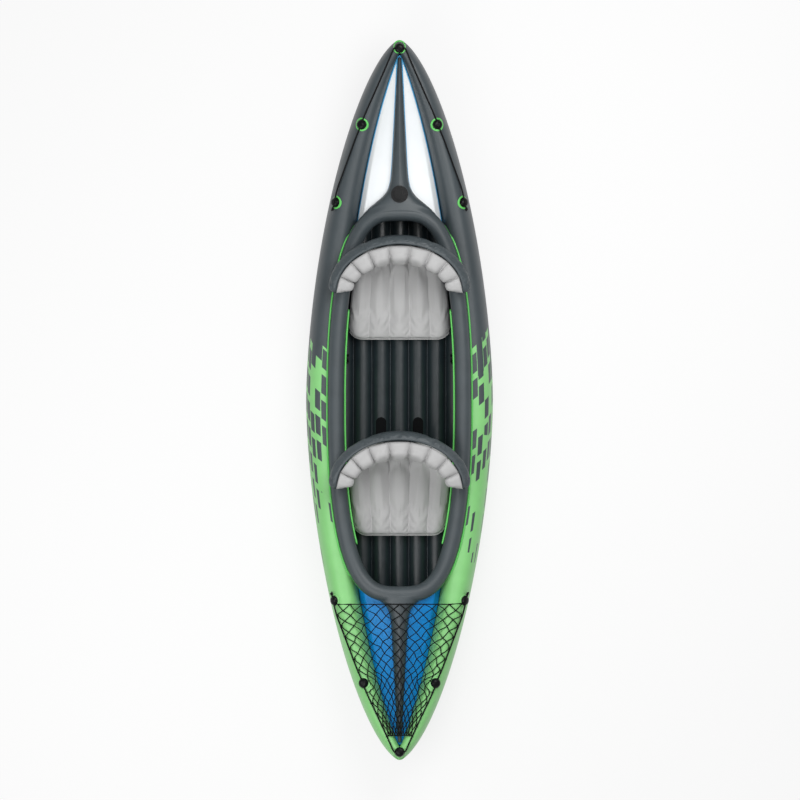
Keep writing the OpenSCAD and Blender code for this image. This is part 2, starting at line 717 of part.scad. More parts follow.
// Round lobe over each of n equal cells, v from -1 to 1
function lobe(v, n) =
    let (g = (v + 1) / 2 * n, f = min(1, g - floor(g))) pow(max(0, 1 - pow(abs(2 * f - 1), 2.5)), 0.5);
function cushion_edge(w) = 0.4 + 0.6 * pow(max(0, 1 - pow(abs(w), 7)), 0.5);
function cushion_ring(y0, w) =
    let (q = max(0, (abs(w) - corner_share) / (1 - corner_share)),
        yf = cushion_corner * (1 - sqrt(1 - min(0.96, q * q))) - cushion_len, yb = cushion_back,
        edge = cushion_edge(w),
        low = cushion_z + cushion_h * 0.5 * (1 - edge),
        top = cushion_z + cushion_h * edge * (1 - channel_dip * (1 - lobe(w, channels))))
    [for (j = [0 : cushion_sides - 1]) let (a = 360 * (j + 0.5) / cushion_sides,
        y = y0 + (yf + yb) / 2 - (yb - yf) / 2 * spow(cos(a), 2 / cushion_e))
        [w * seat_hw(y), y, (low + top) / 2 + (top - low) / 2 * spow(sin(a), 2 / cushion_e)]];
module seat_cushion(y0) {
    n = channels * channel_rings;
    loft([for (k = [0 : n]) cushion_ring(y0, 2 * k / n - 1)]);
}

// Backrest arch over the angle f, 0 behind the paddler
tufts = 9;
tuft_rings = 4;
pad_sides = 14;
shell_sides = 10;
pad_e = 2.6;
arch_d = 215;
arch_end = 90;
pad_end_t = 60;
tuft_dip = 0.36;
seat_rest = 1;
wing_from = 16;
wing_span = 14;
wing_clear = 45;
wing_h = 58;
shell_inset = 8;
wing_z = side_h + rim_rise + rim_r + wing_clear;
function arch(f) = [back_w / 2 * sin(f), back_reach - arch_d * (1 - cos(f))];
function arch_out(f) = unit([arch_d * sin(f), back_w / 2 * cos(f)]);
// Foot of the backrest: on the cushion behind the paddler, above the coaming at the wings
function back_low(f) =
    mix(crest_z(arch(f)[1] - pad_t / 2) + seat_rest, wing_z, ease((abs(f) - wing_from) / wing_span));
function back_high(f) = mix(back_top_z, wing_z + wing_h, pow(abs(f) / arch_end, 2));
function back_end(f) = 0.35 + 0.65 * pow(max(0, 1 - pow(abs(f) / arch_end, 10)), 0.5);
function pad_depth(f) =
    mix(pad_t, pad_end_t, abs(f) / arch_end) * (1 - tuft_dip * (1 - lobe(f / arch_end, tufts))) * back_end(f);
// Ring across the arch from distance d0 outward to d1, heights z0 to z1, starting inboard
function back_ring(y0, f, d0, d1, z0, z1, n) =
    let (c = arch(f), o = arch_out(f))
    [for (j = [0 : n - 1]) let (a = 360 * (j + 0.5) / n,
        d = (d0 + d1) / 2 - (d1 - d0) / 2 * spow(cos(a), 2 / pad_e),
        z = (z0 + z1) / 2 + (z1 - z0) / 2 * spow(sin(a), 2 / pad_e))
        [c[0] + o[0] * d, y0 + c[1] + o[1] * d, z]];
function drawn_in(f) = (back_high(f) - back_low(f)) * (1 - back_end(f)) / 2;
module back_pad(y0) {
    n = tufts * tuft_rings;
    loft([for (k = [0 : n]) let (f = mix(-arch_end, arch_end, k / n), q = drawn_in(f))
        back_ring(y0, f, -rest_gap / 2 - pad_depth(f), -rest_gap / 2, back_low(f) + q, back_high(f) - q,
            pad_sides)]);
}
shell_rings = 20;
module back_shell(y0) {
    loft([for (k = [0 : shell_rings]) let (f = mix(-arch_end, arch_end, k / shell_rings), q = drawn_in(f))
        back_ring(y0, f, rest_gap / 2, rest_gap / 2 + shell_t * back_end(f), back_low(f) + q + shell_inset,
            back_high(f) - q - shell_inset, shell_sides)]);
}
// Seat valve in the middle of the shell
seat_valve_r = 14;
seat_valve_h = 9;
shell_face = shell_t / 2 * (1 + pow(cos(180 / shell_sides), 2 / pad_e));
module seat_valve(y0) {
    translate([0, y0 + back_reach + shell_face + 1.5 * rest_gap, (back_low(0) + back_high(0)) / 2])
        rotate([-90, 0, 0]) {
            cylinder(r = seat_valve_r, h = flange_t, $fn = 48);
            cylinder(r = 0.6 * seat_valve_r, h = seat_valve_h, $fn = 48);
        }
}

module rear_seat_cushion() {
    color("#9EA5AB") seat_cushion(rear_seat_y);
}

module rear_seat_back_pad() {
    color("#9EA5AB") back_pad(rear_seat_y);
}

module rear_seat_back_shell() {
    color("#454C53") back_shell(rear_seat_y);
}

module rear_seat_valve() {
    color("#161819") seat_valve(rear_seat_y);
}

module front_seat_cushion() {
    color("#9EA5AB") seat_cushion(front_seat_y);
}

module front_seat_back_pad() {
    color("#9EA5AB") back_pad(front_seat_y);
}

module front_seat_back_shell() {
    color("#454C53") back_shell(front_seat_y);
}

module front_seat_valve() {
    color("#161819") seat_valve(front_seat_y);
}

hull_left_chamber();
hull_right_chamber();
bottom_skin();
ibeam_floor();
cockpit_coaming();
coaming_piping_outer();
coaming_piping_inner();
bow_deck_left();
bow_deck_right();
stern_deck_left();
stern_deck_right();
bow_spine();
stern_spine();
bow_eyelets();
bow_eyelet_patches();
stern_eyelets();
stern_eyelet_patches();
bow_grab_line();
stern_grab_line();
cargo_net();
stern_valve_body();
stern_valve_cap();
left_hull_valve_body();
left_hull_valve_cap();
right_hull_valve_body();
right_hull_valve_cap();
floor_valve_body();
floor_valve_cap();
floor_anchor_patches();
rear_seat_cushion();
rear_seat_back_pad();
rear_seat_back_shell();
rear_seat_valve();
front_seat_cushion();
front_seat_back_pad();
front_seat_back_shell();
front_seat_valve();
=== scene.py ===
"""Looks of an inflatable kayak for two paddlers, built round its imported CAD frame."""

import math
import random

import bmesh
import bpy
from bpy.props import FloatProperty, FloatVectorProperty, PointerProperty
from bpy.types import Operator, Panel, PropertyGroup
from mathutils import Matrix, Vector


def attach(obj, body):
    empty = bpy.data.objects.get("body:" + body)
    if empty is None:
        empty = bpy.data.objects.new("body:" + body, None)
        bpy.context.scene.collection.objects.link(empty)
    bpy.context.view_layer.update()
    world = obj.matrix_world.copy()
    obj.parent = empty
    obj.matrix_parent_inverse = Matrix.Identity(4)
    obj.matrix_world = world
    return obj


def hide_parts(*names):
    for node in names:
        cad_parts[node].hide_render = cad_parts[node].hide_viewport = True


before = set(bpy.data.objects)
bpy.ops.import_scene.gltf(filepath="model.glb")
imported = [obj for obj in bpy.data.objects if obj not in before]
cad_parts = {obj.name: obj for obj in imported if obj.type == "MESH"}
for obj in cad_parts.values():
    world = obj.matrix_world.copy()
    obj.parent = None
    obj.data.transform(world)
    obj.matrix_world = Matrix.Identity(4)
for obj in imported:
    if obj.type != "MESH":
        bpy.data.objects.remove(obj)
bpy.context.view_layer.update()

bl_info = {
    "name": "Inflatable Tandem Kayak",
    "version": (1, 0, 0),
    "blender": (4, 5, 0),
    "location": "View3D > Sidebar > Kayak",
    "description": "Builds the looks of an inflatable two-seat kayak piece by piece",
    "category": "Add Mesh",
}

MM = 0.001
WELD_GAP = 0.02
SIDES = {"left": -1, "right": 1}

# Hull, in millimetres, shares and exponents of the CAD source
TIP_LEN = 60.0
FLAT_SHARE = 0.6
HULL_E = 2.4
SKIN_T = 3.0
REST_GAP = 0.4
TIP_GAP = 0.3
HULL_RINGS = 240
HULL_SIDES = 96
COCKPIT_SIDES = range(28, 69)
BOTTOM_RUN = 0.996
BOTTOM_SHARE = 0.62
FLOOR_HALF = 870.0
GROOVE = 32.0

# Coaming: exponents of its plan, its middle along the boat, its rise above the tubes
RIM_E = (3.2, 2.4)
RIM_SHIFT = -16.0
RIM_LIFT = 14.0
RIM_SHEER = 30.0

# Decks and spines: values at the coaming and at the tip, flare and fading run at stern and bow
DECK_RUN = (0.51, 0.992)
SHOULDER = 0.45
SPINE_W = (88, 16)
SPINE_H = (60, 12)
SPINE_E = 2.6
FLARE = {1: (200, 30), -1: (70, 25)}
SPINE_RUN = (0.021, 0.985)
LIP_SHARE = 0.1
LIP_DIP = 1.4

# Eyelets, as shares of the half length and of the tube's breadth, lines and net
BOW_FIX = ((0.560, 0.85), (0.798, 0.62), (1.0, 0.42))
STERN_FIX = ((0.553, 0.80), (0.777, 0.60), (1.0, 0.42))
TIP_PATCH = 0.93
ROPE_REACH = 24.0
TUNNEL = 9.9
NET_COLS = 10
NET_ROWS = 24
NET_SHAKE = 5.0

# Seats: hinge lines, sewn cells, the backrest's arch and its section
SEATS = {"rear": 602.0, "front": -269.0}
CHANNELS = 5
CHANNEL_POWER = 0.8
LOBES = 9
CUSHION_REAR = 78.0
CUSHION_CORNER = 60.0
ARCH_Y = 89.0
ARCH_DEPTH = 215.0
WING_RISE = 45.0
PAD_DEPTH = (90, 72)
SHELL_DEPTH = 33
ROUND_E = 2.6
SQUARE_E = 10
AIR_PRESSURE = 4.0
AIR_FRAMES = 20

# Print on the tubes, in metres and shares
DASH_ROW = 0.03
DASH_PITCH = 0.115
DASH_SHARE = 0.74
DASH_SLANT = 0.024
PRINT_ENDS = (-0.74, 0.24)
PRINT_STAGGER = 0.22
# Moves of the UV map, so that the left tube has other dashes and the cockpit's walls none
LEFT_PRINT = 4.08
INNER_WALL = 20.0

# Stage, in metres and watts
STAGE_HALF = 60
STAGE_DROP = 0.004
FLOOR_GLOW = 0.8
SKY = (0.45, 1.0)
LAMPS = (("key", (0.9, 1.6, 3.6), 2.6, 88), ("fill", (-1.3, -1.5, 3.2), 3.0, 60))
VIEW_WIDTH = 3.5556


def linear(code):
    """Turns an sRGB hex code into linear red, green and blue."""
    parts = [int(code[i : i + 2], 16) / 255 for i in (1, 3, 5)]
    return [p / 12.92 if p <= 0.04045 else ((p + 0.055) / 1.055) ** 2.4 for p in parts]


def length(name, default, text):
    """A size in metres that is given in millimetres."""
    return FloatProperty(name=name, description=text, default=default * MM, unit="LENGTH")


def tint(name, code, text):
    """A linear colour that is given as an sRGB hex code."""
    return FloatVectorProperty(
        name=name, description=text, default=linear(code), subtype="COLOR", min=0, max=1
    )


class KayakSizes(PropertyGroup):
    """Sizes of the boat, the same as in the CAD source."""

    hull_len: length("Hull length", 3200, "Overall length")
    beam: length("Beam", 830, "Greatest width over both tubes")
    side_h: length("Tube height", 250, "Height of the side tubes amidships")
    sheer_rise: length("Sheer", 125, "Rise of the tube tops to the tips")
    rocker: length("Rocker", 220, "Rise of the keel at the tips")
    chamber_w: length("Tube width", 168, "Width of one side tube amidships")
    cockpit_len: length("Cockpit length", 1624, "Clear length of the cockpit")
    cockpit_w: length("Cockpit width", 494, "Clear width of the cockpit")
    rim_d: length("Coaming", 72, "Diameter of the coaming tube")
    floor_h: length("Floor height", 87, "Height of the inflated floor")
    ridge_pitch: length("Ridge pitch", 82, "Spacing of the floor ridges")
    piping_d: length("Piping", 8, "Diameter of the piping beads")
    seat_w: length("Seat width", 466, "Width of a seat cushion")
    cushion_len: length("Cushion length", 327, "Length of a seat cushion")
    cushion_h: length("Cushion height", 85, "Height of a seat cushion")
    back_w: length("Backrest span", 564, "Span of the backrest arch")
    back_top: length("Backrest top", 455, "Height of the backrests above the ground")
    eyelet_d: length("Eyelet", 44, "Diameter of a rope eyelet")
    patch_d: length("Eyelet patch", 60, "Diameter of an eyelet's patch")
    rope_d: length("Rope", 7, "Diameter of the grab lines")
    strand_w: length("Net strand", 4.4, "Thickness of a net strand")


class KayakColours(PropertyGroup):
    """Colours of the coated fabrics and the fittings."""

    green: tint("Green", "#80C478", "Bow half of the side tubes")
    slate: tint("Slate", "#3D4549", "Stern half of the tubes, coaming and spines")
    floor: tint("Floor", "#1A2428", "Inflated floor")
    blue: tint("Blue", "#0585D2", "Bow deck sheets")
    trim: tint("Trim", "#4FA8DA", "Margins of the stern deck sheets")
    # Painted highlight: pale white painted over the middle of the stern deck sheets, whose own
    # colour is the light blue of the trim
    painted_highlight: tint("Pale", "#EEF2F4", "Stern deck sheets")
    piping: tint("Piping", "#5FC45C", "Piping beads and stern eyelet patches")
    seat: tint("Seat", "#ABABAB", "Cushions and backrest pads")
    black: tint("Black", "#08090B", "Moulded fittings, cord and net")


class Shape:
    """The boat's surfaces in millimetres, with the formulas of the CAD source."""

    def __init__(self, sizes):
        for key in KayakSizes.__annotations__:
            setattr(self, key, getattr(sizes, key) / MM)
        self.half_len = self.hull_len / 2
        self.inner_len = self.half_len - TIP_LEN
        self.inner_w = self.beam / 2 - self.chamber_w
        self.floor_z = SKIN_T + REST_GAP
        self.floor_top = self.floor_z + self.floor_h
        self.rim_r = self.rim_d / 2
        self.rim_ax = self.cockpit_w / 2 + self.rim_r
        self.rim_by = self.cockpit_len / 2 + self.rim_r
        self.tuck = (self.rim_r + 1.5) * math.cos(math.radians(45))

    def outer_pt(self, s):
        """Outboard edge of the tube in plan at station s."""
        x = self.beam / 2 * max(0.0, 1 - abs(s) ** 1.7) ** 0.65
        return Vector((x, self.half_len * s))

    def inner_pt(self, s):
        """Inboard edge of the tube in plan at station s."""
        return Vector((self.inner_w * max(0.0, 1 - s * s) ** 0.9, self.inner_len * s))

    def wall_x(self, y):
        """Half width between the tubes at y."""
        return self.inner_pt(min(1.0, abs(y) / self.inner_len)).x

    def keel_z(self, s):
        """Height of the bottom at station s."""
        return self.rocker * (max(0.0, abs(s) - FLAT_SHARE) / (1 - FLAT_SHARE)) ** 1.8

    def mid_half(self, s):
        """Middle height and half height of the tube at station s."""
        top = self.side_h + self.sheer_rise * abs(s) ** 2.5
        low = self.keel_z(s) + SKIN_T + REST_GAP
        return (top + low) / 2, (top - low) / 2

    def hull_pt(self, s, angle):
        """Point of the right tube, angle 0 outboard and 90 degrees on top."""
        share = 0.5 + 0.5 * spow(math.cos(angle), 2 / HULL_E)
        p = self.inner_pt(s).lerp(self.outer_pt(s), share)
        mid, half = self.mid_half(s)
        return Vector((p.x + TIP_GAP / 2, p.y, mid + half * spow(math.sin(angle), 2 / HULL_E)))

    def station_share(self, x, y):
        """Station of the section plane through a plan point and the share across it."""
        lo, hi, p = 0.0, 1.0, Vector((abs(x), abs(y)))
        for _ in range(18):
            m = (lo + hi) / 2
            i = self.inner_pt(m)
            d, q = self.outer_pt(m) - i, p - i
            if d.x * q.y - d.y * q.x > 0:
                lo = m
            else:
                hi = m
        i = self.inner_pt(lo)
        d = self.outer_pt(lo) - i
        return lo, (p - i).dot(d) / d.length_squared

    def tube_top(self, x, y):
        """Height of the tube over a plan point, 0 where there is none."""
        s, u = self.station_share(x, y)
        w = abs(2 * u - 1)
        mid, half = self.mid_half(s)
        return mid + half * (1 - w**HULL_E) ** (1 / HULL_E) if w < 1 else 0.0

    def depth(self, p):
        """Negative inside a side tube."""
        s, u = self.station_share(p.x, p.y)
        mid, half = self.mid_half(s)
        return abs(2 * u - 1) ** HULL_E + (abs(p.z - mid) / half) ** HULL_E - 1

    def on_hull(self, x, y):
        """Point on top of a side tube."""
        return Vector((x, y, self.tube_top(x, y)))

    def normal(self, p, d=1.5):
        """Outward normal of a side tube."""
        steps = (Vector((d, 0, 0)), Vector((0, d, 0)), Vector((0, 0, d)))
        return Vector([self.depth(p + e) - self.depth(p - e) for e in steps]).normalized()

    def drop(self, p, n):
        """Point of the tube's surface straight below p against n."""
        lo, hi = 0.0, 40.0
        for _ in range(14):
            m = (lo + hi) / 2
            if self.depth(p - n * m) > 0:
                lo = m
            else:
                hi = m
        return p - n * lo

    def rim_xy(self, t):
        """Centre line of the coaming in plan."""
        x, y = spow(math.cos(t), 2 / RIM_E[0]), spow(math.sin(t), 2 / RIM_E[1])
        return Vector((self.rim_ax * x, RIM_SHIFT + self.rim_by * y))

    def rim_out(self, t):
        """Outward direction of the coaming in plan."""
        p = self.rim_xy(t)
        x = spow(p.x / self.rim_ax, RIM_E[0] - 1) * RIM_E[0] / self.rim_ax
        y = spow((p.y - RIM_SHIFT) / self.rim_by, RIM_E[1] - 1) * RIM_E[1] / self.rim_by
        return Vector((x, y)).normalized()

    def rim_z(self, y):
        """Centre height of the coaming."""
        share = min(1.0, abs(y - RIM_SHIFT) / self.rim_by)
        return self.side_h + RIM_LIFT + RIM_SHEER * share**6

    def on_rim(self, t, d, angle):
        """Point at distance d from the coaming's centre line."""
        c, o = self.rim_xy(t), self.rim_out(t)
        q = c + o * d * math.cos(angle)
        return Vector((q.x, q.y, self.rim_z(c.y) + d * math.sin(angle)))

    def crease(self, r):
        """Edge of a deck sheet on the tube's inner shoulder, r from the coaming to the tip."""
        angle = math.pi - math.asin(SHOULDER ** (HULL_E / 2))
        return self.hull_pt(mix(*DECK_RUN, r), angle) - Vector((0.7, 0, 0))

    def deck_ridge(self, r, e):
        """Middle line of a deck, e 1 at the stern and -1 at the bow."""
        k = self.crease(1)
        y0 = e * RIM_SHIFT + self.rim_by + self.tuck
        z0 = self.rim_z(RIM_SHIFT + self.rim_by) - self.tuck
        return Vector((TIP_GAP / 2, mix(y0, k.y + 4, r), mix(z0, k.z + 4, r)))

    def deck_pt(self, r, c, e):
        """Point of a deck sheet, c from the tube's shoulder to the middle line."""
        start = self.crease(0)
        k = self.crease(r).lerp(self.deck_ridge(r, e), c)
        k0 = start.lerp(self.deck_ridge(0, e), c)
        if c <= 0:
            return k
        x = start.x * (1 - c)
        across = (x / (self.rim_ax + self.tuck)) ** RIM_E[0]
        y = (self.rim_by + self.tuck) * (1 - across) ** (1 / RIM_E[1])
        z = self.rim_z(RIM_SHIFT + y * self.rim_by / (self.rim_by + self.tuck)) - self.tuck
        w = (1 - r) ** 3 * min(1.0, c * 6)
        return Vector((k.x, k.y + (e * RIM_SHIFT + y - k0.y) * w, k.z + (z - k0.z) * w))

    def spine_hw(self, r, e):
        """Half width of a deck spine, flaring into the coaming."""
        run = self.deck_ridge(r, e).y - self.deck_ridge(0, e).y
        width, fade = FLARE[e]
        return mix(*SPINE_W, r) / 2 + width * math.exp(-run / fade)

    def spine_pt(self, r, t, e, up):
        """Point of a deck spine, t from -1 to 1 across it, up 0 on the deck and 1 on top."""
        x = t * self.spine_hw(r, e)
        p = self.deck_pt(r, 1 - abs(x) / self.crease(r).x, e)
        h = mix(*SPINE_H, r) * max(0.0, 1 - abs(t) ** SPINE_E) ** (1 / SPINE_E)
        return Vector((x, p.y, p.z + 1.6 + h * up))

    def near_rim(self, p, e):
        """Coaming's centre and outward direction beside a plan point at one end of the boat."""
        turns = [
            math.acos(spow((p.x + k) / self.rim_ax, RIM_E[0] / 2))
            for k in range(-45, 46)
            if abs(p.x + k) < self.rim_ax
        ]
        best = min(turns, key=lambda t: (self.rim_end(t, e) - p).length_squared)
        return self.rim_end(best, e), self.rim_out(best)

    def rim_end(self, t, e):
        """Centre line of the coaming, with the bow end turned to the stern's side."""
        c = self.rim_xy(t)
        return Vector((c.x, c.y - RIM_SHIFT + e * RIM_SHIFT))

    def fairing_pt(self, lead, t, e, up):
        """Point of a spine's lip, lead 0 on the coaming's crest and 1 at the spine's root."""
        root, foot = (self.spine_pt(SPINE_RUN[0], t, e, k) for k in (1, 0))
        c, o = self.near_rim(root.xy, e)
        reach = (root.xy - c).dot(o)
        d = mix(5.0, reach, lead)
        crest = self.rim_z(RIM_SHIFT + c.y - e * RIM_SHIFT)
        cover = crest + math.sqrt(max(0.0, (self.rim_r + 0.6) ** 2 - d * d))
        slope = mix(crest + self.rim_r + 0.4, root.z, ease(lead))
        z = max(cover, slope) if d < self.rim_r else slope
        # The lip's edges dip into the coaming
        z -= LIP_DIP * max(abs(t) ** 12, max(0.0, 1 - lead / 0.2) ** 2)
        if not up:
            z -= mix(0.4, root.z - foot.z, lead**4) * (1 - abs(t) ** 8)
        q = c + o * d
        return Vector((q.x, q.y, z))

    def line_plan(self, fix, e):
        """Five eyelets in plan, from one side round the tip to the other."""
        q = [self.inner_pt(s).lerp(self.outer_pt(s), u) for s, u in fix]
        places = ((q[0], -1), (q[1], -1), (q[2], 0), (q[1], 1), (q[0], 1))
        return [Vector((p.x * side, e * p.y)) for p, side in places]

    def eyelet_frame(self, plan, k):
        """Foot, direction along the rope, direction across it and outward normal."""
        p = self.on_hull(*plan[k])
        n = self.normal(p)
        d = plan[min(4, k + 1)] - plan[max(0, k - 1)]
        f = Vector((d.x, d.y, 0)).normalized()
        t = (f - n * f.dot(n)).normalized()
        return p, t, n.cross(t), n

    def gate(self, foot, d):
        """Point of the rope at distance d from the middle of an eyelet's tunnel."""
        return foot[0] + foot[3] * (REST_GAP + TUNNEL) + foot[1] * d

    def rope_path(self, plan):
        """Middle line of a grab line through its five eyelets."""
        feet = [self.eyelet_frame(plan, k) for k in range(5)]
        route = [self.gate(feet[0], -ROPE_REACH * d) for d in (1.55, 1.3)]
        for k in range(5):
            route += [self.gate(feet[k], ROPE_REACH * d) for d in (-1, 0, 1)]
            if k < 4:
                a, b = self.gate(feet[k], ROPE_REACH), self.gate(feet[k + 1], -ROPE_REACH)
                for j in range(1, 7):
                    q = a.lerp(b, j / 7)
                    p = self.on_hull(q.x, q.y)
                    route.append(p + self.normal(p) * (self.rope_d / 2 + 1.4))
        route += [self.gate(feet[4], ROPE_REACH * d) for d in (1.3, 1.55)]
        return smooth_path(route, 6)

    def net_edge(self, plan, feet, y):
        """Edge of the cargo net beside the bow line, drawn in past the eyelets."""
        stops = ((4, 1), (4, -1), (3, 1), (3, -1), (2, 1))
        gates = [self.gate(feet[k], ROPE_REACH * d) for k, d in stops]
        x = gates[-1].x
        for p, q in zip(gates, gates[1:]):
            if y >= q.y:
                x = mix(p.x, q.x, (y - p.y) / (q.y - p.y))
                break
        n = self.normal(self.on_hull(x, y))
        drawn = 33 * math.exp(-(((y - plan[3].y) / 35) ** 2))
        drawn += 72 * math.exp(-(((y - plan[4].y) / 35) ** 2))
        gap = self.strand_w * 0.9 + (self.rope_d / 2 + 2 * REST_GAP + drawn) * n.z
        return self.on_hull(x - gap, y) + Vector((n.x, 0, n.z)) * (self.rope_d / 2 + 3.9)

    def net_knot(self, plan, feet, row, q):
        """Knot of the cargo net, q from -1 to 1 across it."""
        y0 = RIM_SHIFT - self.rim_by - self.rim_r - 8
        y = mix(y0, mix(plan[2].y, plan[3].y, 0.24), row / NET_ROWS)
        side = self.net_edge(plan, feet, y)
        x = q * side.x
        if abs(q) == 1:
            return Vector((x, y, side.z - 1.5))
        a, b = self.deck_ridge(0, -1).y, self.deck_ridge(1, -1).y
        r = max(0.0, min(1.0, (-y - a) / (b - a)))
        crest = self.spine_pt(r, 0, -1, 1).z + 8
        z = max(mix(crest, side.z, abs(q) ** 1.25), self.tube_top(x, y) + 8)
        return Vector((x, y, z - 1.5))

    def cushion_pt(self, y0, w, angle):
        """Point of a seat cushion, w from -1 to 1 across it, angle round its section."""
        q = max(0.0, (abs(w) - 0.72) / 0.28)
        front = CUSHION_CORNER * (1 - math.sqrt(1 - min(0.96, q * q))) - self.cushion_len
        arch = 1 - math.sqrt(1 - (w * self.seat_w / self.back_w) ** 2)
        rear = min(CUSHION_REAR, ARCH_Y + 15 - ARCH_DEPTH * arch)
        edge = max(0.0, 1 - abs(w) ** 9) ** 0.4
        ground = self.floor_top + REST_GAP
        low = ground + self.cushion_h * 0.45 * (1 - edge)
        puff = 0.51 - 0.2 * (1 - lobe(w, CHANNELS, CHANNEL_POWER))
        top = ground + self.cushion_h * (0.45 + puff * edge)
        y = y0 + (front + rear) / 2 - (rear - front) / 2 * spow(math.cos(angle), 0.5)
        z = (low + top) / 2 + (top - low) / 2 * spow(math.sin(angle), 0.5)
        return Vector((w * min(self.seat_w / 2, self.wall_x(y) - 12), y, z))

    def crest_z(self, y):
        """Height of a cushion's crest at y from the hinge line."""
        m, h = (CUSHION_REAR - self.cushion_len) / 2, (CUSHION_REAR + self.cushion_len) / 2
        bulge = max(0.0, 1 - (abs(y - m) / h) ** 4) ** 0.25
        return self.floor_top + REST_GAP + self.cushion_h / 2 * (1 + bulge)

    def back_pt(self, y0, f, angle, part):
        """Point of a backrest at f degrees along its arch, angle round its section."""
        s, c, half_w = math.sin(math.radians(f)), math.cos(math.radians(f)), self.back_w / 2
        centre = Vector((half_w * s, ARCH_Y - ARCH_DEPTH * (1 - c)))
        out = Vector((ARCH_DEPTH * s, half_w * c)).normalized()
        wing = self.side_h + RIM_LIFT + self.rim_r + WING_RISE
        foot = self.crest_z(centre.y - 42.5) + 1
        low = mix(foot, wing, ease((abs(f) - 16) / 14))
        high = mix(self.back_top, wing + 58, (abs(f) / 90) ** 2)
        end = max(0.0, 1 - max(0.0, (abs(f) - 80) / 10) ** 3) ** 0.5
        pull = (high - low) * (1 - end) / 2
        if part == "pad":
            puff = lobe(f / 90, LOBES) if abs(f) < 80 else 1.0
            deep = mix(*PAD_DEPTH, abs(f) / 90) * (1 - 0.17 * (1 - puff)) * end
            high -= 26 * (1 - puff)
            d1 = -REST_GAP / 2 - 4 * puff * end
            d0 = min(d1, -REST_GAP / 2 - deep)
        else:
            d0, d1 = REST_GAP / 2, REST_GAP / 2 + SHELL_DEPTH * end
            low, high = low + 8, high - 8
        low, high = low + pull, high - pull
        c, s = math.cos(angle), math.sin(angle)
        # Square where pad and shell meet, round on the other side
        if (c < 0) == (part == "pad"):
            size = (c**SQUARE_E + s**SQUARE_E) ** (-1 / SQUARE_E)
            across, tall = c * size, s * size
        else:
            across, tall = spow(c, 2 / ROUND_E), spow(s, 2 / ROUND_E)
        # The pad's front is fullest near its top
        if part == "pad" and c > 0:
            across *= mix(0.7, 1.0, ease((tall + 0.35) / 0.7))
        d = (d0 + d1) / 2 - (d1 - d0) / 2 * across
        z = (low + high) / 2 + (high - low) / 2 * tall
        return Vector((centre.x + out.x * d, y0 + centre.y + out.y * d, z))


def lobe(v, n, power=0.5):
    """Round lobe over each of n equal cells, v from -1 to 1, leaner with a higher power."""
    f = (v + 1) / 2 * n % 1.0
    return (1 - abs(2 * f - 1) ** 3) ** power


def spow(v, e):
    """Power that keeps the sign of its base."""
    return math.copysign(abs(v) ** e, v)


def mix(a, b, t):
    """Straight blend from a to b."""
    return a + (b - a) * t


def ease(t):
    """Smooth step from 0 to 1."""
    t = min(1.0, max(0.0, t))
    return t * t * (3 - 2 * t)


def lay_grid(bm, nu, nv, place, chart=None, hold=None):
    """Lays a grid of nu by nv faces and moves its corners to place(u, v) in millimetres.

    chart(u, v) gives its UV map, hold(u, v) how firmly a corner is sewn down."""
    sewn = bm.verts.layers.float.new("sewn") if hold else None
    verts = bmesh.ops.create_grid(bm, x_segments=nu, y_segments=nv, size=1.0)["verts"]
    at = {v: ((v.co.x + 1) / 2, (v.co.y + 1) / 2) for v in verts}
    if chart:
        layer = bm.loops.layers.uv.verify()
        for face in {f for v in verts for f in v.link_faces}:
            for loop in face.loops:
                loop[layer].uv = chart(*at[loop.vert])
    for v in verts:
        v.co = place(*at[v]) * MM
        if hold:
            v[sewn] = hold(*at[v])


def close_up(bm):
    """Welds the seams of laid grids, fills open ends and turns the normals outward."""
    bmesh.ops.remove_doubles(bm, verts=bm.verts[:], dist=WELD_GAP * MM)
    rim = [e for e in bm.edges if e.is_boundary]
    if rim:
        bmesh.ops.holes_fill(bm, edges=rim, sides=0)
    bmesh.ops.recalc_face_normals(bm, faces=bm.faces[:])


def put(name, data):
    """Links a new object with the given data to the scene."""
    obj = bpy.data.objects.new(name, data)
    bpy.context.scene.collection.objects.link(obj)
    return obj


def mesh_of(bm, name):
    """Makes a mesh of bm."""
    mesh = bpy.data.meshes.new(name)
    bm.to_mesh(mesh)
    return mesh


def piece(bm, name, body, slot, cover, *nodes):
    """Makes an object of bm that rides on a body and stands for CAD nodes."""
    mesh = mesh_of(bm, name)
    bm.free()
    mesh.polygons.foreach_set("use_smooth", [True] * len(mesh.polygons))
    mesh.materials.append(cover)
    obj = put(name, mesh)
    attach(obj, body)
    if nodes:
        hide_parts(*nodes)
    return obj


def inflate(bm, cap, spare):
    """Swells a closed shape with air by cloth simulation, its sewn corners held.

    No corner moves further than cap millimetres, and spare is the share of loose cloth."""
    scene = bpy.context.scene
    sewn = bm.verts.layers.float["sewn"]
    bm.verts.index_update()
    mesh = mesh_of(bm, "inflating")
    bag = put("inflating", mesh)
    seams = bag.vertex_groups.new(name="seams")
    for v in bm.verts:
        seams.add([v.index], v[sewn], "REPLACE")
    cloth = bag.modifiers.new("cloth", "CLOTH")
    cloth.settings.vertex_group_mass = seams.name
    cloth.settings.use_pressure = True
    cloth.settings.uniform_pressure_force = AIR_PRESSURE
    cloth.settings.effector_weights.gravity = 0.0
    cloth.settings.shrink_min = -spare
    cloth.point_cache.frame_start, cloth.point_cache.frame_end = 1, AIR_FRAMES
    for k in range(1, AIR_FRAMES + 1):
        scene.frame_set(k)
    swollen = bag.evaluated_get(bpy.context.evaluated_depsgraph_get()).data
    for v in bm.verts:
        move = swollen.vertices[v.index].co - v.co
        v.co += move * min(1.0, cap * MM / max(move.length, 1e-9))
    bpy.data.objects.remove(bag)
    bpy.data.meshes.remove(mesh)
    scene.frame_set(1)


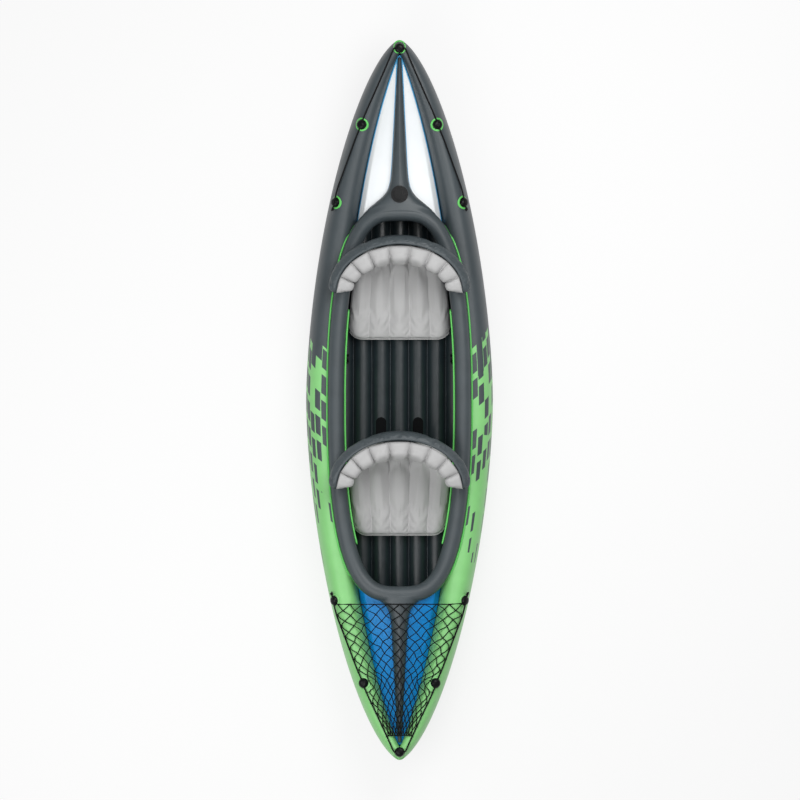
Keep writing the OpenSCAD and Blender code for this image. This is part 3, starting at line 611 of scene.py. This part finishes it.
def sweep(bm, path, radius, sides=12):
    """Lays a tube along a list of points in millimetres, radius(i) at point i."""
    n = len(path)
    rows = []
    for i, p in enumerate(path):
        t = (path[min(n - 1, i + 1)] - path[max(0, i - 1)]).normalized()
        s = t.cross(Vector((0, 0, 1))).normalized()
        rows.append((p, s, s.cross(t), radius(i)))

    def place(u, v):
        p, s, k, r = rows[round(u * (n - 1))]
        a = math.tau * v
        return p + (s * math.cos(a) + k * math.sin(a)) * r

    run = [0.0]
    for a, b in zip(path, path[1:]):
        run.append(run[-1] + (b - a).length * MM)
    lay_grid(bm, n - 1, sides, place, lambda u, v: (run[round(u * (n - 1))], v))


def smooth_path(points, steps):
    """Catmull-Rom curve through points, with steps parts between two of them."""
    out = []
    for i in range(len(points) - 1):
        a, b = points[i], points[i + 1]
        p, q = points[max(0, i - 1)], points[min(len(points) - 1, i + 2)]
        for k in range(steps):
            t = k / steps
            bend = (2 * p - 5 * a + 4 * b - q) * t * t + (3 * a - p - 3 * b + q) * t**3
            out.append(0.5 * (2 * a + (b - p) * t + bend))
    return out + [points[-1]]


def add(tree, kind, inputs=None, **props):
    """Adds a shader node, sets its properties, and sets or links its inputs."""
    made = tree.nodes.new("ShaderNode" + kind)
    for key, value in props.items():
        setattr(made, key, value)
    for key, value in (inputs or {}).items():
        if isinstance(value, bpy.types.NodeSocket):
            tree.links.new(value, made.inputs[key])
        else:
            made.inputs[key].default_value = value
    return made


def calc(tree, operation, *values):
    """Adds a math node and gives its result."""
    return add(tree, "Math", dict(enumerate(values)), operation=operation).outputs[0]


def ramp(tree, value, low, high, first=0.0, last=1.0):
    """Maps a value from low to high onto first to last."""
    inputs = dict(enumerate((value, low, high, first, last)))
    return add(tree, "MapRange", inputs).outputs[0]


def uv(tree):
    """The two UV coordinates."""
    return add(tree, "SeparateXYZ", {0: add(tree, "TexCoord").outputs["UV"]}).outputs[:2]


def rgba(colour):
    """Linear colour with full alpha."""
    return (*colour[:3], 1.0)


def blend_colours(tree, factor, a, b):
    """Mixes colour a with colour b."""
    made = add(tree, "Mix", {0: factor, 6: a, 7: b}, data_type="RGBA")
    return made.outputs[2]


def paint_print(tree, colours):
    """Slate stern, slanted dashes amidships and green bow, from UV in metres."""
    y, girth = uv(tree)
    lane = calc(tree, "DIVIDE", girth, DASH_ROW)
    row, across = calc(tree, "FLOOR", lane), calc(tree, "FRACT", lane)
    shift = add(tree, "TexWhiteNoise", {"W": row}, noise_dimensions="1D").outputs["Value"]
    slanted = calc(tree, "MULTIPLY_ADD", across, DASH_SLANT, y)
    # 0 where the dashes end near the bow, 1 where the stern turns plain slate
    share = ramp(tree, y, *PRINT_ENDS)
    start = calc(tree, "MULTIPLY_ADD", shift, PRINT_STAGGER, PRINT_ENDS[1] - PRINT_STAGGER / 2)
    plain = calc(tree, "GREATER_THAN", slanted, start)
    offset = calc(tree, "MULTIPLY", shift, 7.0)
    along = calc(tree, "MULTIPLY_ADD", slanted, 1 / DASH_PITCH, offset)
    cell = add(tree, "CombineXYZ", {0: row, 1: calc(tree, "FLOOR", along)}).outputs[0]
    luck = add(tree, "TexWhiteNoise", {"Vector": cell}, noise_dimensions="2D").outputs["Value"]
    often = calc(tree, "MULTIPLY", calc(tree, "POWER", share, 0.35), 0.9)
    long = calc(tree, "LESS_THAN", calc(tree, "FRACT", along), DASH_SHARE)
    middle = calc(tree, "ABSOLUTE", calc(tree, "SUBTRACT", across, 0.5))
    half = ramp(tree, share, 0, 0.7, 0.14, 0.43)
    wide = calc(tree, "LESS_THAN", middle, half)
    drawn = calc(tree, "LESS_THAN", luck, often)
    dash = calc(tree, "MULTIPLY", drawn, calc(tree, "MULTIPLY", long, wide))
    outside = calc(tree, "LESS_THAN", girth, INNER_WALL / 2)
    dark = calc(tree, "MAXIMUM", calc(tree, "MULTIPLY", dash, outside), plain)
    return blend_colours(tree, dark, rgba(colours.green), rgba(colours.slate))


def paint_margins(tree, colours):
    """Painted highlight of pale white over the sheet's middle, the sheet's own light blue at its
    margins; UV gives the distances to its two long edges in metres.
    """
    edge = ramp(tree, calc(tree, "MINIMUM", *uv(tree)), 0.006, 0.009, 1.0, 0.0)
    # Pale white is the painted highlight, the margins keep the sheet's light blue
    return blend_colours(tree, edge, rgba(colours.painted_highlight), rgba(colours.trim))


# Colour, roughness and relief of each material, under what it is and what that gives the eye
FINISHES = {
    # Printed vinyl on woven polyester: satin film, the base cloth shows faintly through it
    "Printed PVC": dict(paint=paint_print, rough=0.42, weave=0.12, swell=0.1, cloud=0.05),
    # The same vinyl dyed green, for patches on the bow
    "Green PVC": dict(tone="green", rough=0.42, weave=0.12, swell=0.1, cloud=0.05),
    # Vinyl dyed slate, with scuffs from handling
    "Slate PVC": dict(tone="slate", rough=0.46, weave=0.12, swell=0.12, cloud=0.1),
    # Laminated vinyl of the floor: dark and smooth, a streak of light lies on each ridge
    "Floor PVC": dict(tone="floor", rough=0.36, weave=0.08, swell=0.14, cloud=0.12),
    # Thin taut deck sheets: blue at the bow, light blue at the stern with a painted highlight of
    # pale white over its middle and the blue kept at the margins
    "Blue PVC": dict(tone="blue", rough=0.48, weave=0.1, swell=0.16, cloud=0.06, shine=0.35),
    "Painted highlight PVC": dict(paint=paint_margins, rough=0.4, weave=0.1, swell=0.12, cloud=0.02),
    # Extruded vinyl bead and die-cut patches: even and shiny
    "Piping PVC": dict(tone="piping", rough=0.36, swell=0.05, cloud=0.05),
    # Flocked vinyl of the seats: matt, soft grey with a velvet edge
    "Grey PVC": dict(tone="seat", rough=0.56, weave=0.14, swell=0.1, cloud=0.04, sheen=0.12),
    # Moulded nylon with a fine spark-eroded grain
    "Black moulded plastic": dict(tone="black", rough=0.3, grain=0.25, cloud=0.2, shine=0.15),
    # Braided polypropylene: crossing strands
    "Black cord": dict(tone="black", rough=0.62, braid=1.0, cloud=0.2, shine=0.2),
    # Woven hook tape: dull, rough pile
    "Hook tape": dict(tone="black", rough=0.9, grain=1.0, cloud=0.3, shine=0.15),
}


def skin(name):
    """Makes a material of FINISHES once and gives it."""
    made = bpy.data.materials.get(name)
    if made:
        return made
    look, colours = FINISHES[name], bpy.context.scene.kayak_colours
    made = bpy.data.materials.new(name)
    made.use_nodes = True
    tree = made.node_tree
    shader = tree.nodes["Principled BSDF"]
    shader.inputs["Specular IOR Level"].default_value = look.get("shine", 0.5)
    shader.inputs["Sheen Weight"].default_value = look.get("sheen", 0.0)
    place = add(tree, "TexCoord").outputs["Object"]

    def noise(scale, detail):
        inputs = {"Vector": place, "Scale": scale, "Detail": detail}
        return add(tree, "TexNoise", inputs).outputs[0]

    if "paint" in look:
        tone = look["paint"](tree, colours)
    else:
        tone = rgba(getattr(colours, look["tone"]))
    # Clouds of handling and wear, about 70 mm across with finer scuffs in them
    cloud = noise(14.0, 5.0)
    value = ramp(tree, cloud, 0.25, 0.75, 1 - look["cloud"], 1 + look["cloud"])
    tinted = add(tree, "HueSaturation", {"Value": value, "Color": tone})
    tree.links.new(tinted.outputs[0], shader.inputs["Base Color"])
    worn = ramp(tree, cloud, 0, 1, look["rough"] - 0.08, look["rough"] + 0.08)
    tree.links.new(worn, shader.inputs["Roughness"])
    reliefs = []
    if "swell" in look:
        # Unevenness of an inflated skin, about 60 mm across
        reliefs.append((noise(17.0, 1.5), look["swell"], 0.01))
    if "weave" in look:
        # Base cloth of 1 mm threads, drawn at 2.9 mm so that it shows
        threads = [
            add(tree, "TexWave", {"Vector": place, "Scale": 110.0}, bands_direction=way).outputs[1]
            for way in "XY"
        ]
        reliefs.append((calc(tree, "MULTIPLY", *threads), look["weave"], 0.0004))
    if "grain" in look:
        # Grain of 0.5 mm, drawn at 2 mm so that it shows
        reliefs.append((noise(500.0, 2.0), look["grain"], 0.0005))
    if "braid" in look:
        # Crossing strands, UV is the run in metres and the turn round the cord
        run, round_it = uv(tree)
        strands = []
        for way in (1, -1):
            turn = calc(tree, "MULTIPLY", round_it, 4.0 * way)
            phase = calc(tree, "MULTIPLY_ADD", run, 1 / 0.006, turn)
            strands.append(calc(tree, "SINE", calc(tree, "MULTIPLY", phase, math.tau)))
        reliefs.append((calc(tree, "MAXIMUM", *strands), look["braid"], 0.0006))
    normal = None
    for height, strength, distance in reliefs:
        inputs = {"Height": height, "Strength": strength, "Distance": distance}
        if normal:
            inputs["Normal"] = normal
        normal = add(tree, "Bump", inputs).outputs[0]
    tree.links.new(normal, shader.inputs["Normal"])
    return made


class KAYAK_OT_hull(Operator):
    """Side tubes and the sheet under them"""

    bl_idname = "kayak.hull"
    bl_label = "Hull"

    def execute(self, context):
        boat = Shape(context.scene.kayak_sizes)
        printed = skin("Printed PVC")
        girth = [0.0]
        ring = [boat.hull_pt(0, math.tau * k / HULL_SIDES) for k in range(HULL_SIDES + 1)]
        for a, b in zip(ring, ring[1:]):
            girth.append(girth[-1] + (b - a).length * MM)

        def station(u):
            v = 2 * u - 1
            return math.copysign(1 - (1 - abs(v)) ** 1.5, v)

        def tube(u, v):
            return boat.hull_pt(station(u), math.tau * v)

        for side, flip in SIDES.items():

            def chart(u, v):
                k = round(v * HULL_SIDES)
                move = LEFT_PRINT if flip < 0 else 0
                if k in COCKPIT_SIDES:
                    move += INNER_WALL
                return boat.half_len * station(u) * MM, girth[k] + move

            bm = bmesh.new()
            lay_grid(bm, HULL_RINGS, HULL_SIDES, tube, chart)
            bmesh.ops.scale(bm, vec=(flip, 1, 1), verts=bm.verts[:])
            close_up(bm)
            piece(bm, side + "_tube", "hull", "green_pvc", printed, f"hull_{side}_chamber")

        bm = bmesh.new()

        def bottom(u, v):
            s = mix(-BOTTOM_RUN, BOTTOM_RUN, u)
            p = boat.inner_pt(s).lerp(boat.outer_pt(s), BOTTOM_SHARE)
            return Vector((p.x * (2 * v - 1), p.y, boat.keel_z(s)))

        lay_grid(bm, 120, 12, bottom)
        bmesh.ops.recalc_face_normals(bm, faces=bm.faces[:])
        area = sum(f.calc_area() for f in bm.faces)
        bmesh.ops.solidify(bm, geom=bm.faces[:], thickness=-SKIN_T * MM)
        close_up(bm)
        slate = skin("Slate PVC")
        sheet = piece(bm, "bottom_sheet", "hull", "slate_pvc", slate, "bottom_skin")
        # The visual sheet closes the tips, 10 mm further at each end
        return {"FINISHED"}


class KAYAK_OT_floor(Operator):
    """Inflated floor of lengthwise ridges"""

    bl_idname = "kayak.floor"
    bl_label = "Floor"

    def execute(self, context):
        boat = Shape(context.scene.kayak_sizes)
        bm = bmesh.new()
        r = boat.floor_h / 2

        def top(u, v):
            y = mix(-FLOOR_HALF, FLOOR_HALF, u)
            x = (2 * v - 1) * (boat.wall_x(y) - REST_GAP)
            near = x - boat.ridge_pitch * max(-3, min(3, round(x / boat.ridge_pitch)))
            z = max(math.sqrt(max(0.0, r * r - near * near)), r - GROOVE)
            return Vector((x, y, boat.floor_z + r + z))

        lay_grid(bm, 80, 180, top)
        bmesh.ops.recalc_face_normals(bm, faces=bm.faces[:])
        rim = [e for e in bm.edges if e.is_boundary]
        down = bmesh.ops.extrude_edge_only(bm, edges=rim)["geom"]
        for v in {v for v in down if isinstance(v, bmesh.types.BMVert)}:
            v.co.z = boat.floor_z * MM
        close_up(bm)
        cover = skin("Floor PVC")
        piece(bm, "inflated_floor", "hull", "floor_pvc", cover, "ibeam_floor")
        return {"FINISHED"}


class KAYAK_OT_coaming(Operator):
    """Coaming tube round the cockpit and its piping"""

    bl_idname = "kayak.coaming"
    bl_label = "Coaming"

    def execute(self, context):
        boat = Shape(context.scene.kayak_sizes)
        slate = skin("Slate PVC")
        bm = bmesh.new()

        def tube(u, v):
            p = boat.on_rim(math.tau * u, boat.rim_r, math.tau * v)
            p.z = max(p.z, boat.tube_top(p.x, p.y) + 1.5)
            return p

        lay_grid(bm, 224, 36, tube)
        close_up(bm)
        piece(bm, "coaming_tube", "hull", "slate_pvc", slate, "cockpit_coaming")

        bead = boat.piping_d / 2
        gap = boat.rim_r + bead + REST_GAP

        def resting(t):
            lo, hi = math.radians(-35), math.radians(40)
            for _ in range(12):
                m = (lo + hi) / 2
                p = boat.on_rim(t, gap, m)
                if p.z > boat.tube_top(p.x, p.y) + bead + REST_GAP:
                    hi = m
                else:
                    lo = m
            return m

        lime = skin("Piping PVC")
        for name, first, last, angle in (
            ("outer", -11, 10, resting),
            ("inner", -7, 4, lambda t: math.pi),
        ):
            bm = bmesh.new()
            n = 6 * (last - first)
            turns = [math.tau * mix(first, last, k / n) / 56 for k in range(n + 1)]
            path = [boat.on_rim(t, gap, angle(t)) for t in turns]
            for flip in SIDES.values():
                side = [Vector((p.x * flip, p.y, p.z)) for p in path]
                sweep(bm, side, lambda i: bead * (0.5 if i in (0, n) else 1.0), 12)
            close_up(bm)
            piece(bm, f"piping_{name}", "hull", "piping_pvc", lime, f"coaming_piping_{name}")
        return {"FINISHED"}


class KAYAK_OT_decks(Operator):
    """Deck sheets and the raised spines on them"""

    bl_idname = "kayak.decks"
    bl_label = "Decks"

    def execute(self, context):
        boat = Shape(context.scene.kayak_sizes)
        slate = skin("Slate PVC")
        # The stern sheets' pale middle is a painted highlight over their light blue
        painted_highlight, blue = skin("Painted highlight PVC"), skin("Blue PVC")
        for end, e, slot, cover in (("stern", 1, "white_pvc", painted_highlight), ("bow", -1, "blue_pvc", blue)):

            def chart(u, v):
                width = (boat.deck_ridge(u, e) - boat.crease(u)).length
                return v * width * MM, ((1 - v) * width - boat.spine_hw(u, e)) * MM

            for side, flip in SIDES.items():
                bm = bmesh.new()
                lay_grid(bm, 72, 36, lambda u, v: boat.deck_pt(u, v, e), chart)
                bmesh.ops.scale(bm, vec=(flip, e, 1), verts=bm.verts[:])
                bmesh.ops.remove_doubles(bm, verts=bm.verts[:], dist=0.02 * MM)
                bmesh.ops.recalc_face_normals(bm, faces=bm.faces[:])
                if sum(f.normal.z for f in bm.faces) < 0:
                    bmesh.ops.reverse_faces(bm, faces=bm.faces[:])
                area = sum(f.calc_area() for f in bm.faces)
                bmesh.ops.solidify(bm, geom=bm.faces[:], thickness=2 * MM)
                close_up(bm)
                node = f"{end}_deck_{side}"
                sheet = piece(bm, f"{end}_{side}_deck_sheet", "hull", slot, cover, node)

            bm = bmesh.new()

            def spine(u, v, up):
                t = 1 - 2 * v
                if u < LIP_SHARE:
                    return boat.fairing_pt(u / LIP_SHARE, t, e, up)
                r = mix(*SPINE_RUN, ((u - LIP_SHARE) / (1 - LIP_SHARE)) ** 1.5)
                return boat.spine_pt(r, t, e, up)

            lay_grid(bm, 80, 32, lambda u, v: spine(u, v, 1))
            lay_grid(bm, 80, 32, lambda u, v: spine(u, v, 0))
            bmesh.ops.scale(bm, vec=(1, e, 1), verts=bm.verts[:])
            close_up(bm)
            piece(bm, f"{end}_spine_tube", "hull", "slate_pvc", slate, f"{end}_spine")
        return {"FINISHED"}


class KAYAK_OT_lines(Operator):
    """Eyelet patches, grab lines with their knots and the cargo net"""

    bl_idname = "kayak.lines"
    bl_label = "Lines and net"

    def execute(self, context):
        boat = Shape(context.scene.kayak_sizes)
        lime = skin("Piping PVC")
        green = skin("Green PVC")
        cord = skin("Black cord")
        for end, e, fix, slot, cover in (
            ("stern", 1, STERN_FIX, "piping_pvc", lime),
            ("bow", -1, BOW_FIX, "green_pvc", green),
        ):
            plan = boat.line_plan(fix, e)
            feet = [boat.eyelet_frame(plan, k) for k in range(5)]
            bm = bmesh.new()
            for k, foot in enumerate(feet):
                outer = boat.patch_d / 2 * (TIP_PATCH if k == 2 else 1.0)
                self.patch(bm, boat, foot, boat.eyelet_d / 2 + 0.8, outer)
            close_up(bm)
            piece(bm, f"{end}_patches", "hull", slot, cover, f"{end}_eyelet_patches")

            path = boat.rope_path(plan)
            for side, tip, back in (("left", path[0], path[9]), ("right", path[-1], path[-10])):
                bm = bmesh.new()
                self.knot(bm, tip, (tip - back).normalized(), boat.rope_d / 2)
                close_up(bm)
                piece(bm, f"{end}_{side}_knot", "hull", "black_cord", cord)
            bm = bmesh.new()
            sweep(bm, path, lambda i: boat.rope_d / 2, 12)
            close_up(bm)
            rope = piece(bm, f"{end}_rope", "hull", "black_cord", cord, f"{end}_grab_line")
            metres = [p * MM for p in path]
            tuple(metres[0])
            sum((b - a).length for a, b in zip(metres, metres[1:]))
        self.net(boat, cord)
        return {"FINISHED"}

    def patch(self, bm, boat, foot, inner, outer):
        """Lays a round patch with a rolled edge on the tube, with a hole for the eyelet."""
        p, t, c, n = foot
        profile = (
            (inner, 0.8),
            (inner, 3.2),
            (inner + 0.6, 3.5),
            (outer - 1.6, 3.5),
            (outer - 0.5, 3.1),
            (outer, 2.3),
            (outer, 0.8),
        )
        last = len(profile) - 1

        def ring(u, v):
            r, up = profile[round(v * last)]
            a = math.tau * u
            q = p + t * r * math.cos(a) + c * r * math.sin(a) + n * 2
            return boat.drop(q, n) + n * up

        lay_grid(bm, 64, last, ring)

    def knot(self, bm, tip, along, r):
        """Lays a stopper knot, two turns of the rope round its own end."""
        out = along.cross(Vector((0, 0, 1))).normalized()
        up = out.cross(along)
        turns = []
        for k in range(73):
            a = math.tau * 2.25 * k / 72
            wide = 0.95 * r * (0.4 + 0.6 * ease(k / 8) * ease((72 - k) / 8))
            swing = (out * math.cos(a) + up * math.sin(a)) * wide
            turns.append(tip + along * mix(-11, 1.5, k / 72) + swing)
        sweep(bm, turns, lambda i: r * 0.9, 10)

    def net(self, boat, cord):
        """Diamonds between the two sides of the bow line, over the bow spine."""
        plan = boat.line_plan(BOW_FIX, -1)
        feet = [boat.eyelet_frame(plan, k) for k in range(5)]
        rope = boat.rope_path(plan)
        r = boat.strand_w / 2
        rng = random.Random(11)
        knots = {}
        for row in range(NET_ROWS + 1):
            for k in range(NET_COLS + 1 - row % 2):
                at = 2 * k + row % 2
                p = boat.net_knot(plan, feet, row, at / NET_COLS - 1)
                free = 0 < at < 2 * NET_COLS and 0 < row < NET_ROWS
                loose = Vector((rng.uniform(-1, 1), rng.uniform(-1, 1), 0))
                shake = NET_SHAKE if free else 0.0
                p += loose * shake * min(1.0, abs(boat.net_edge(plan, feet, p.y).x) / 150)
                p.z = max(p.z, boat.tube_top(p.x, p.y) + 4.5)
                knots[row, at] = p
        bm = bmesh.new()
        for start in range(NET_COLS + 1):
            for step in (-1, 1):
                if not 0 <= 2 * start + step <= 2 * NET_COLS:
                    continue
                at, way, path = 2 * start, step, []
                for row in range(NET_ROWS + 1):
                    path.append(knots[row, at])
                    if not 0 <= at + way <= 2 * NET_COLS:
                        way = -way
                    at += way
                sweep(bm, smooth_path(path, 5), lambda i: r * 0.95, 8)
        # Border along the first and the last row
        for row in (0, NET_ROWS):
            line = [knots[row, 2 * k] for k in range(NET_COLS + 1)]
            if row == 0:
                for foot, place in ((feet[0], 0), (feet[4], len(line))):
                    toward = (line[min(place, len(line) - 1)] - foot[0]).normalized()
                    line.insert(place, foot[0] + foot[3] * 9 + toward * (boat.eyelet_d / 2 - 3))
            sweep(bm, smooth_path(line, 5), lambda i: r, 8)
        # Loops that tie the edge knots to the grab line
        for row in range(2, NET_ROWS + 1, 2):
            for at in (0, 2 * NET_COLS):
                p = knots[row, at]
                q = min(rope, key=lambda w: (w - p).length_squared)
                along = q - p
                reach = along.length / 2 + boat.rope_d / 2 + 1.2
                along.normalize()
                up = along.cross(Vector((0, 0, 1)).cross(along).normalized())
                high = boat.rope_d / 2 + 1.6
                turns = [math.tau * k / 24 for k in range(25)]
                rounds = [along * reach * math.cos(a) + up * high * math.sin(a) for a in turns]
                sweep(bm, [(p + q) / 2 + d for d in rounds], lambda i: r * 0.7, 6)
        close_up(bm)
        for p in knots.values():
            ball = bmesh.ops.create_icosphere(bm, subdivisions=2, radius=r * 1.25 * MM)["verts"]
            bmesh.ops.translate(bm, verts=ball, vec=p * MM)
        piece(bm, "deck_net", "hull", "black_cord", cord, "cargo_net")


class KAYAK_OT_seats(Operator):
    """Seat cushions and backrests"""

    bl_idname = "kayak.seats"
    bl_label = "Seats"

    def execute(self, context):
        boat = Shape(context.scene.kayak_sizes)
        grey, slate = skin("Grey PVC"), skin("Slate PVC")
        for name, y0 in SEATS.items():
            bm = bmesh.new()

            def cushion_at(u, v):
                return boat.cushion_pt(y0, 2 * u - 1, math.tau * v)

            def sewn(u, v):
                below = math.sin(math.tau * v) < -0.3
                front = v < 0.01 or v > 0.99
                return float(below or front or lobe(2 * u - 1, CHANNELS, CHANNEL_POWER) < 0.2)

            lay_grid(bm, 150, 72, cushion_at, hold=sewn)
            close_up(bm)
            inflate(bm, 9, 0.022)
            self.flange(bm, boat, y0)
            close_up(bm)
            body, node = f"{name}_seat_base", f"{name}_seat_cushion"
            cushion = piece(bm, f"{name}_cushion", body, "seat_pvc", grey, node)
            for part, cover, slot in (("pad", grey, "seat_pvc"), ("shell", slate, "slate_pvc")):
                bm = bmesh.new()

                def back_at(u, v):
                    return boat.back_pt(y0, mix(-90, 90, u), math.tau * v, part)

                def seam(u, v):
                    turn = math.tau * v
                    toward = -math.cos(turn) if part == "pad" else math.cos(turn)
                    sewn_cell = part == "pad" and lobe(2 * u - 1, LOBES) < 0.3
                    return float(toward > 0.25 or math.sin(turn) < -0.85 or sewn_cell)

                lay_grid(bm, 216, 56, back_at, hold=seam)
                close_up(bm)
                inflate(bm, 10, 0.03)
                body, node = f"{name}_seat_back", f"{name}_seat_back_{part}"
                back = piece(bm, f"{name}_{part}", body, slot, cover, node)
        return {"FINISHED"}

    def flange(self, bm, boat, y0):
        """Lays the welded seam that runs round the front edge of a cushion."""

        def strip(u, v):
            p = boat.cushion_pt(y0, mix(-0.97, 0.97, u), 0)
            out = Vector((p.x * 0.35, p.y - y0 + 60, 0)).normalized()
            a = math.tau * v
            wide, thick = 5 * spow(math.cos(a), 0.5), 1.3 * spow(math.sin(a), 0.5)
            return p + out * (2 + wide) + Vector((0, 0, thick))

        lay_grid(bm, 120, 12, strip)


class KAYAK_OT_fittings(Operator):
    """Finishes of the moulded fittings"""

    bl_idname = "kayak.fittings"
    bl_label = "Fittings"

    def execute(self, context):
        black, tape = skin("Black moulded plastic"), skin("Hook tape")
        for name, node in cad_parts.items():
            if not node.hide_render:
                node.data.materials.clear()
                node.data.materials.append(tape if "anchor" in name else black)
        return {"FINISHED"}


class KAYAK_OT_stage(Operator):
    """Floor, lights, camera and world"""

    bl_idname = "kayak.stage"
    bl_label = "Stage"

    def execute(self, context):
        scene = context.scene
        scene.view_settings.view_transform = "Standard"
        bm = bmesh.new()
        bmesh.ops.create_grid(bm, x_segments=1, y_segments=1, size=STAGE_HALF)
        mesh = mesh_of(bm, "studio_floor")
        bm.free()
        floor = put("studio_floor", mesh)
        floor.location.z = -STAGE_DROP
        white = bpy.data.materials.new("Studio floor")
        white.use_nodes = True
        tree = white.node_tree
        glow = add(tree, "Emission", {"Color": (1, 1, 1, 1), "Strength": 1.0})
        plain = tree.nodes["Principled BSDF"]
        plain.inputs["Base Color"].default_value = (0.8, 0.8, 0.8, 1)
        plain.inputs["Roughness"].default_value = 0.9
        path = add(tree, "LightPath").outputs
        seen = calc(tree, "MAXIMUM", path["Is Camera Ray"], path["Is Glossy Ray"])
        seen = calc(tree, "MAXIMUM", seen, path["Is Transmission Ray"])
        share = calc(tree, "MULTIPLY", seen, FLOOR_GLOW)
        mixed = add(tree, "MixShader", {0: share, 1: plain.outputs[0], 2: glow.outputs[0]})
        tree.links.new(mixed.outputs[0], tree.nodes["Material Output"].inputs["Surface"])
        mesh.materials.append(white)

        world = bpy.data.worlds.new("Studio")
        world.use_nodes = True
        sky = world.node_tree.nodes["Background"]
        sky.inputs[0].default_value = (1, 1, 1, 1)
        path = add(world.node_tree, "LightPath").outputs
        level = ramp(world.node_tree, path["Is Camera Ray"], 0, 1, *SKY)
        world.node_tree.links.new(level, sky.inputs[1])
        scene.world = world
        for name, place, size, power in LAMPS:
            data = bpy.data.lights.new(name, "AREA")
            data.shape = "DISK"
            data.size = size
            data.energy = power
            lamp = put(name, data)
            lamp.location = place
            lamp.rotation_euler = (-Vector(place)).to_track_quat("-Z", "Y").to_euler()
        data = bpy.data.cameras.new("camera")
        data.type = "ORTHO"
        data.ortho_scale = VIEW_WIDTH
        data.clip_end = 50
        scene.camera = put("camera", data)
        scene.camera.location = (0.002, 0, 5)
        return {"FINISHED"}


STEPS = (
    KAYAK_OT_hull,
    KAYAK_OT_floor,
    KAYAK_OT_coaming,
    KAYAK_OT_decks,
    KAYAK_OT_lines,
    KAYAK_OT_seats,
    KAYAK_OT_fittings,
    KAYAK_OT_stage,
)


class KAYAK_PT_panel(Panel):
    """Buttons for the pieces of the kayak"""

    bl_idname = "KAYAK_PT_panel"
    bl_label = "Inflatable kayak"
    bl_space_type = "VIEW_3D"
    bl_region_type = "UI"
    bl_category = "Kayak"

    def draw(self, context):
        for step in STEPS:
            self.layout.operator(step.bl_idname)
        for group in (context.scene.kayak_sizes, context.scene.kayak_colours):
            box = self.layout.box()
            for key in type(group).__annotations__:
                box.prop(group, key)


CLASSES = (KayakSizes, KayakColours, *STEPS, KAYAK_PT_panel)


def register():
    """Adds the classes and the scene's sizes and colours."""
    for item in CLASSES:
        bpy.utils.register_class(item)
    bpy.types.Scene.kayak_sizes = PointerProperty(type=KayakSizes)
    bpy.types.Scene.kayak_colours = PointerProperty(type=KayakColours)


def unregister():
    """Takes away what register added."""
    del bpy.types.Scene.kayak_sizes
    del bpy.types.Scene.kayak_colours
    for item in reversed(CLASSES):
        bpy.utils.unregister_class(item)


def main():
    register()
    for step in STEPS:
        group, name = step.bl_idname.split(".")
        getattr(getattr(bpy.ops, group), name)()


if __name__ == "__main__":
    main()
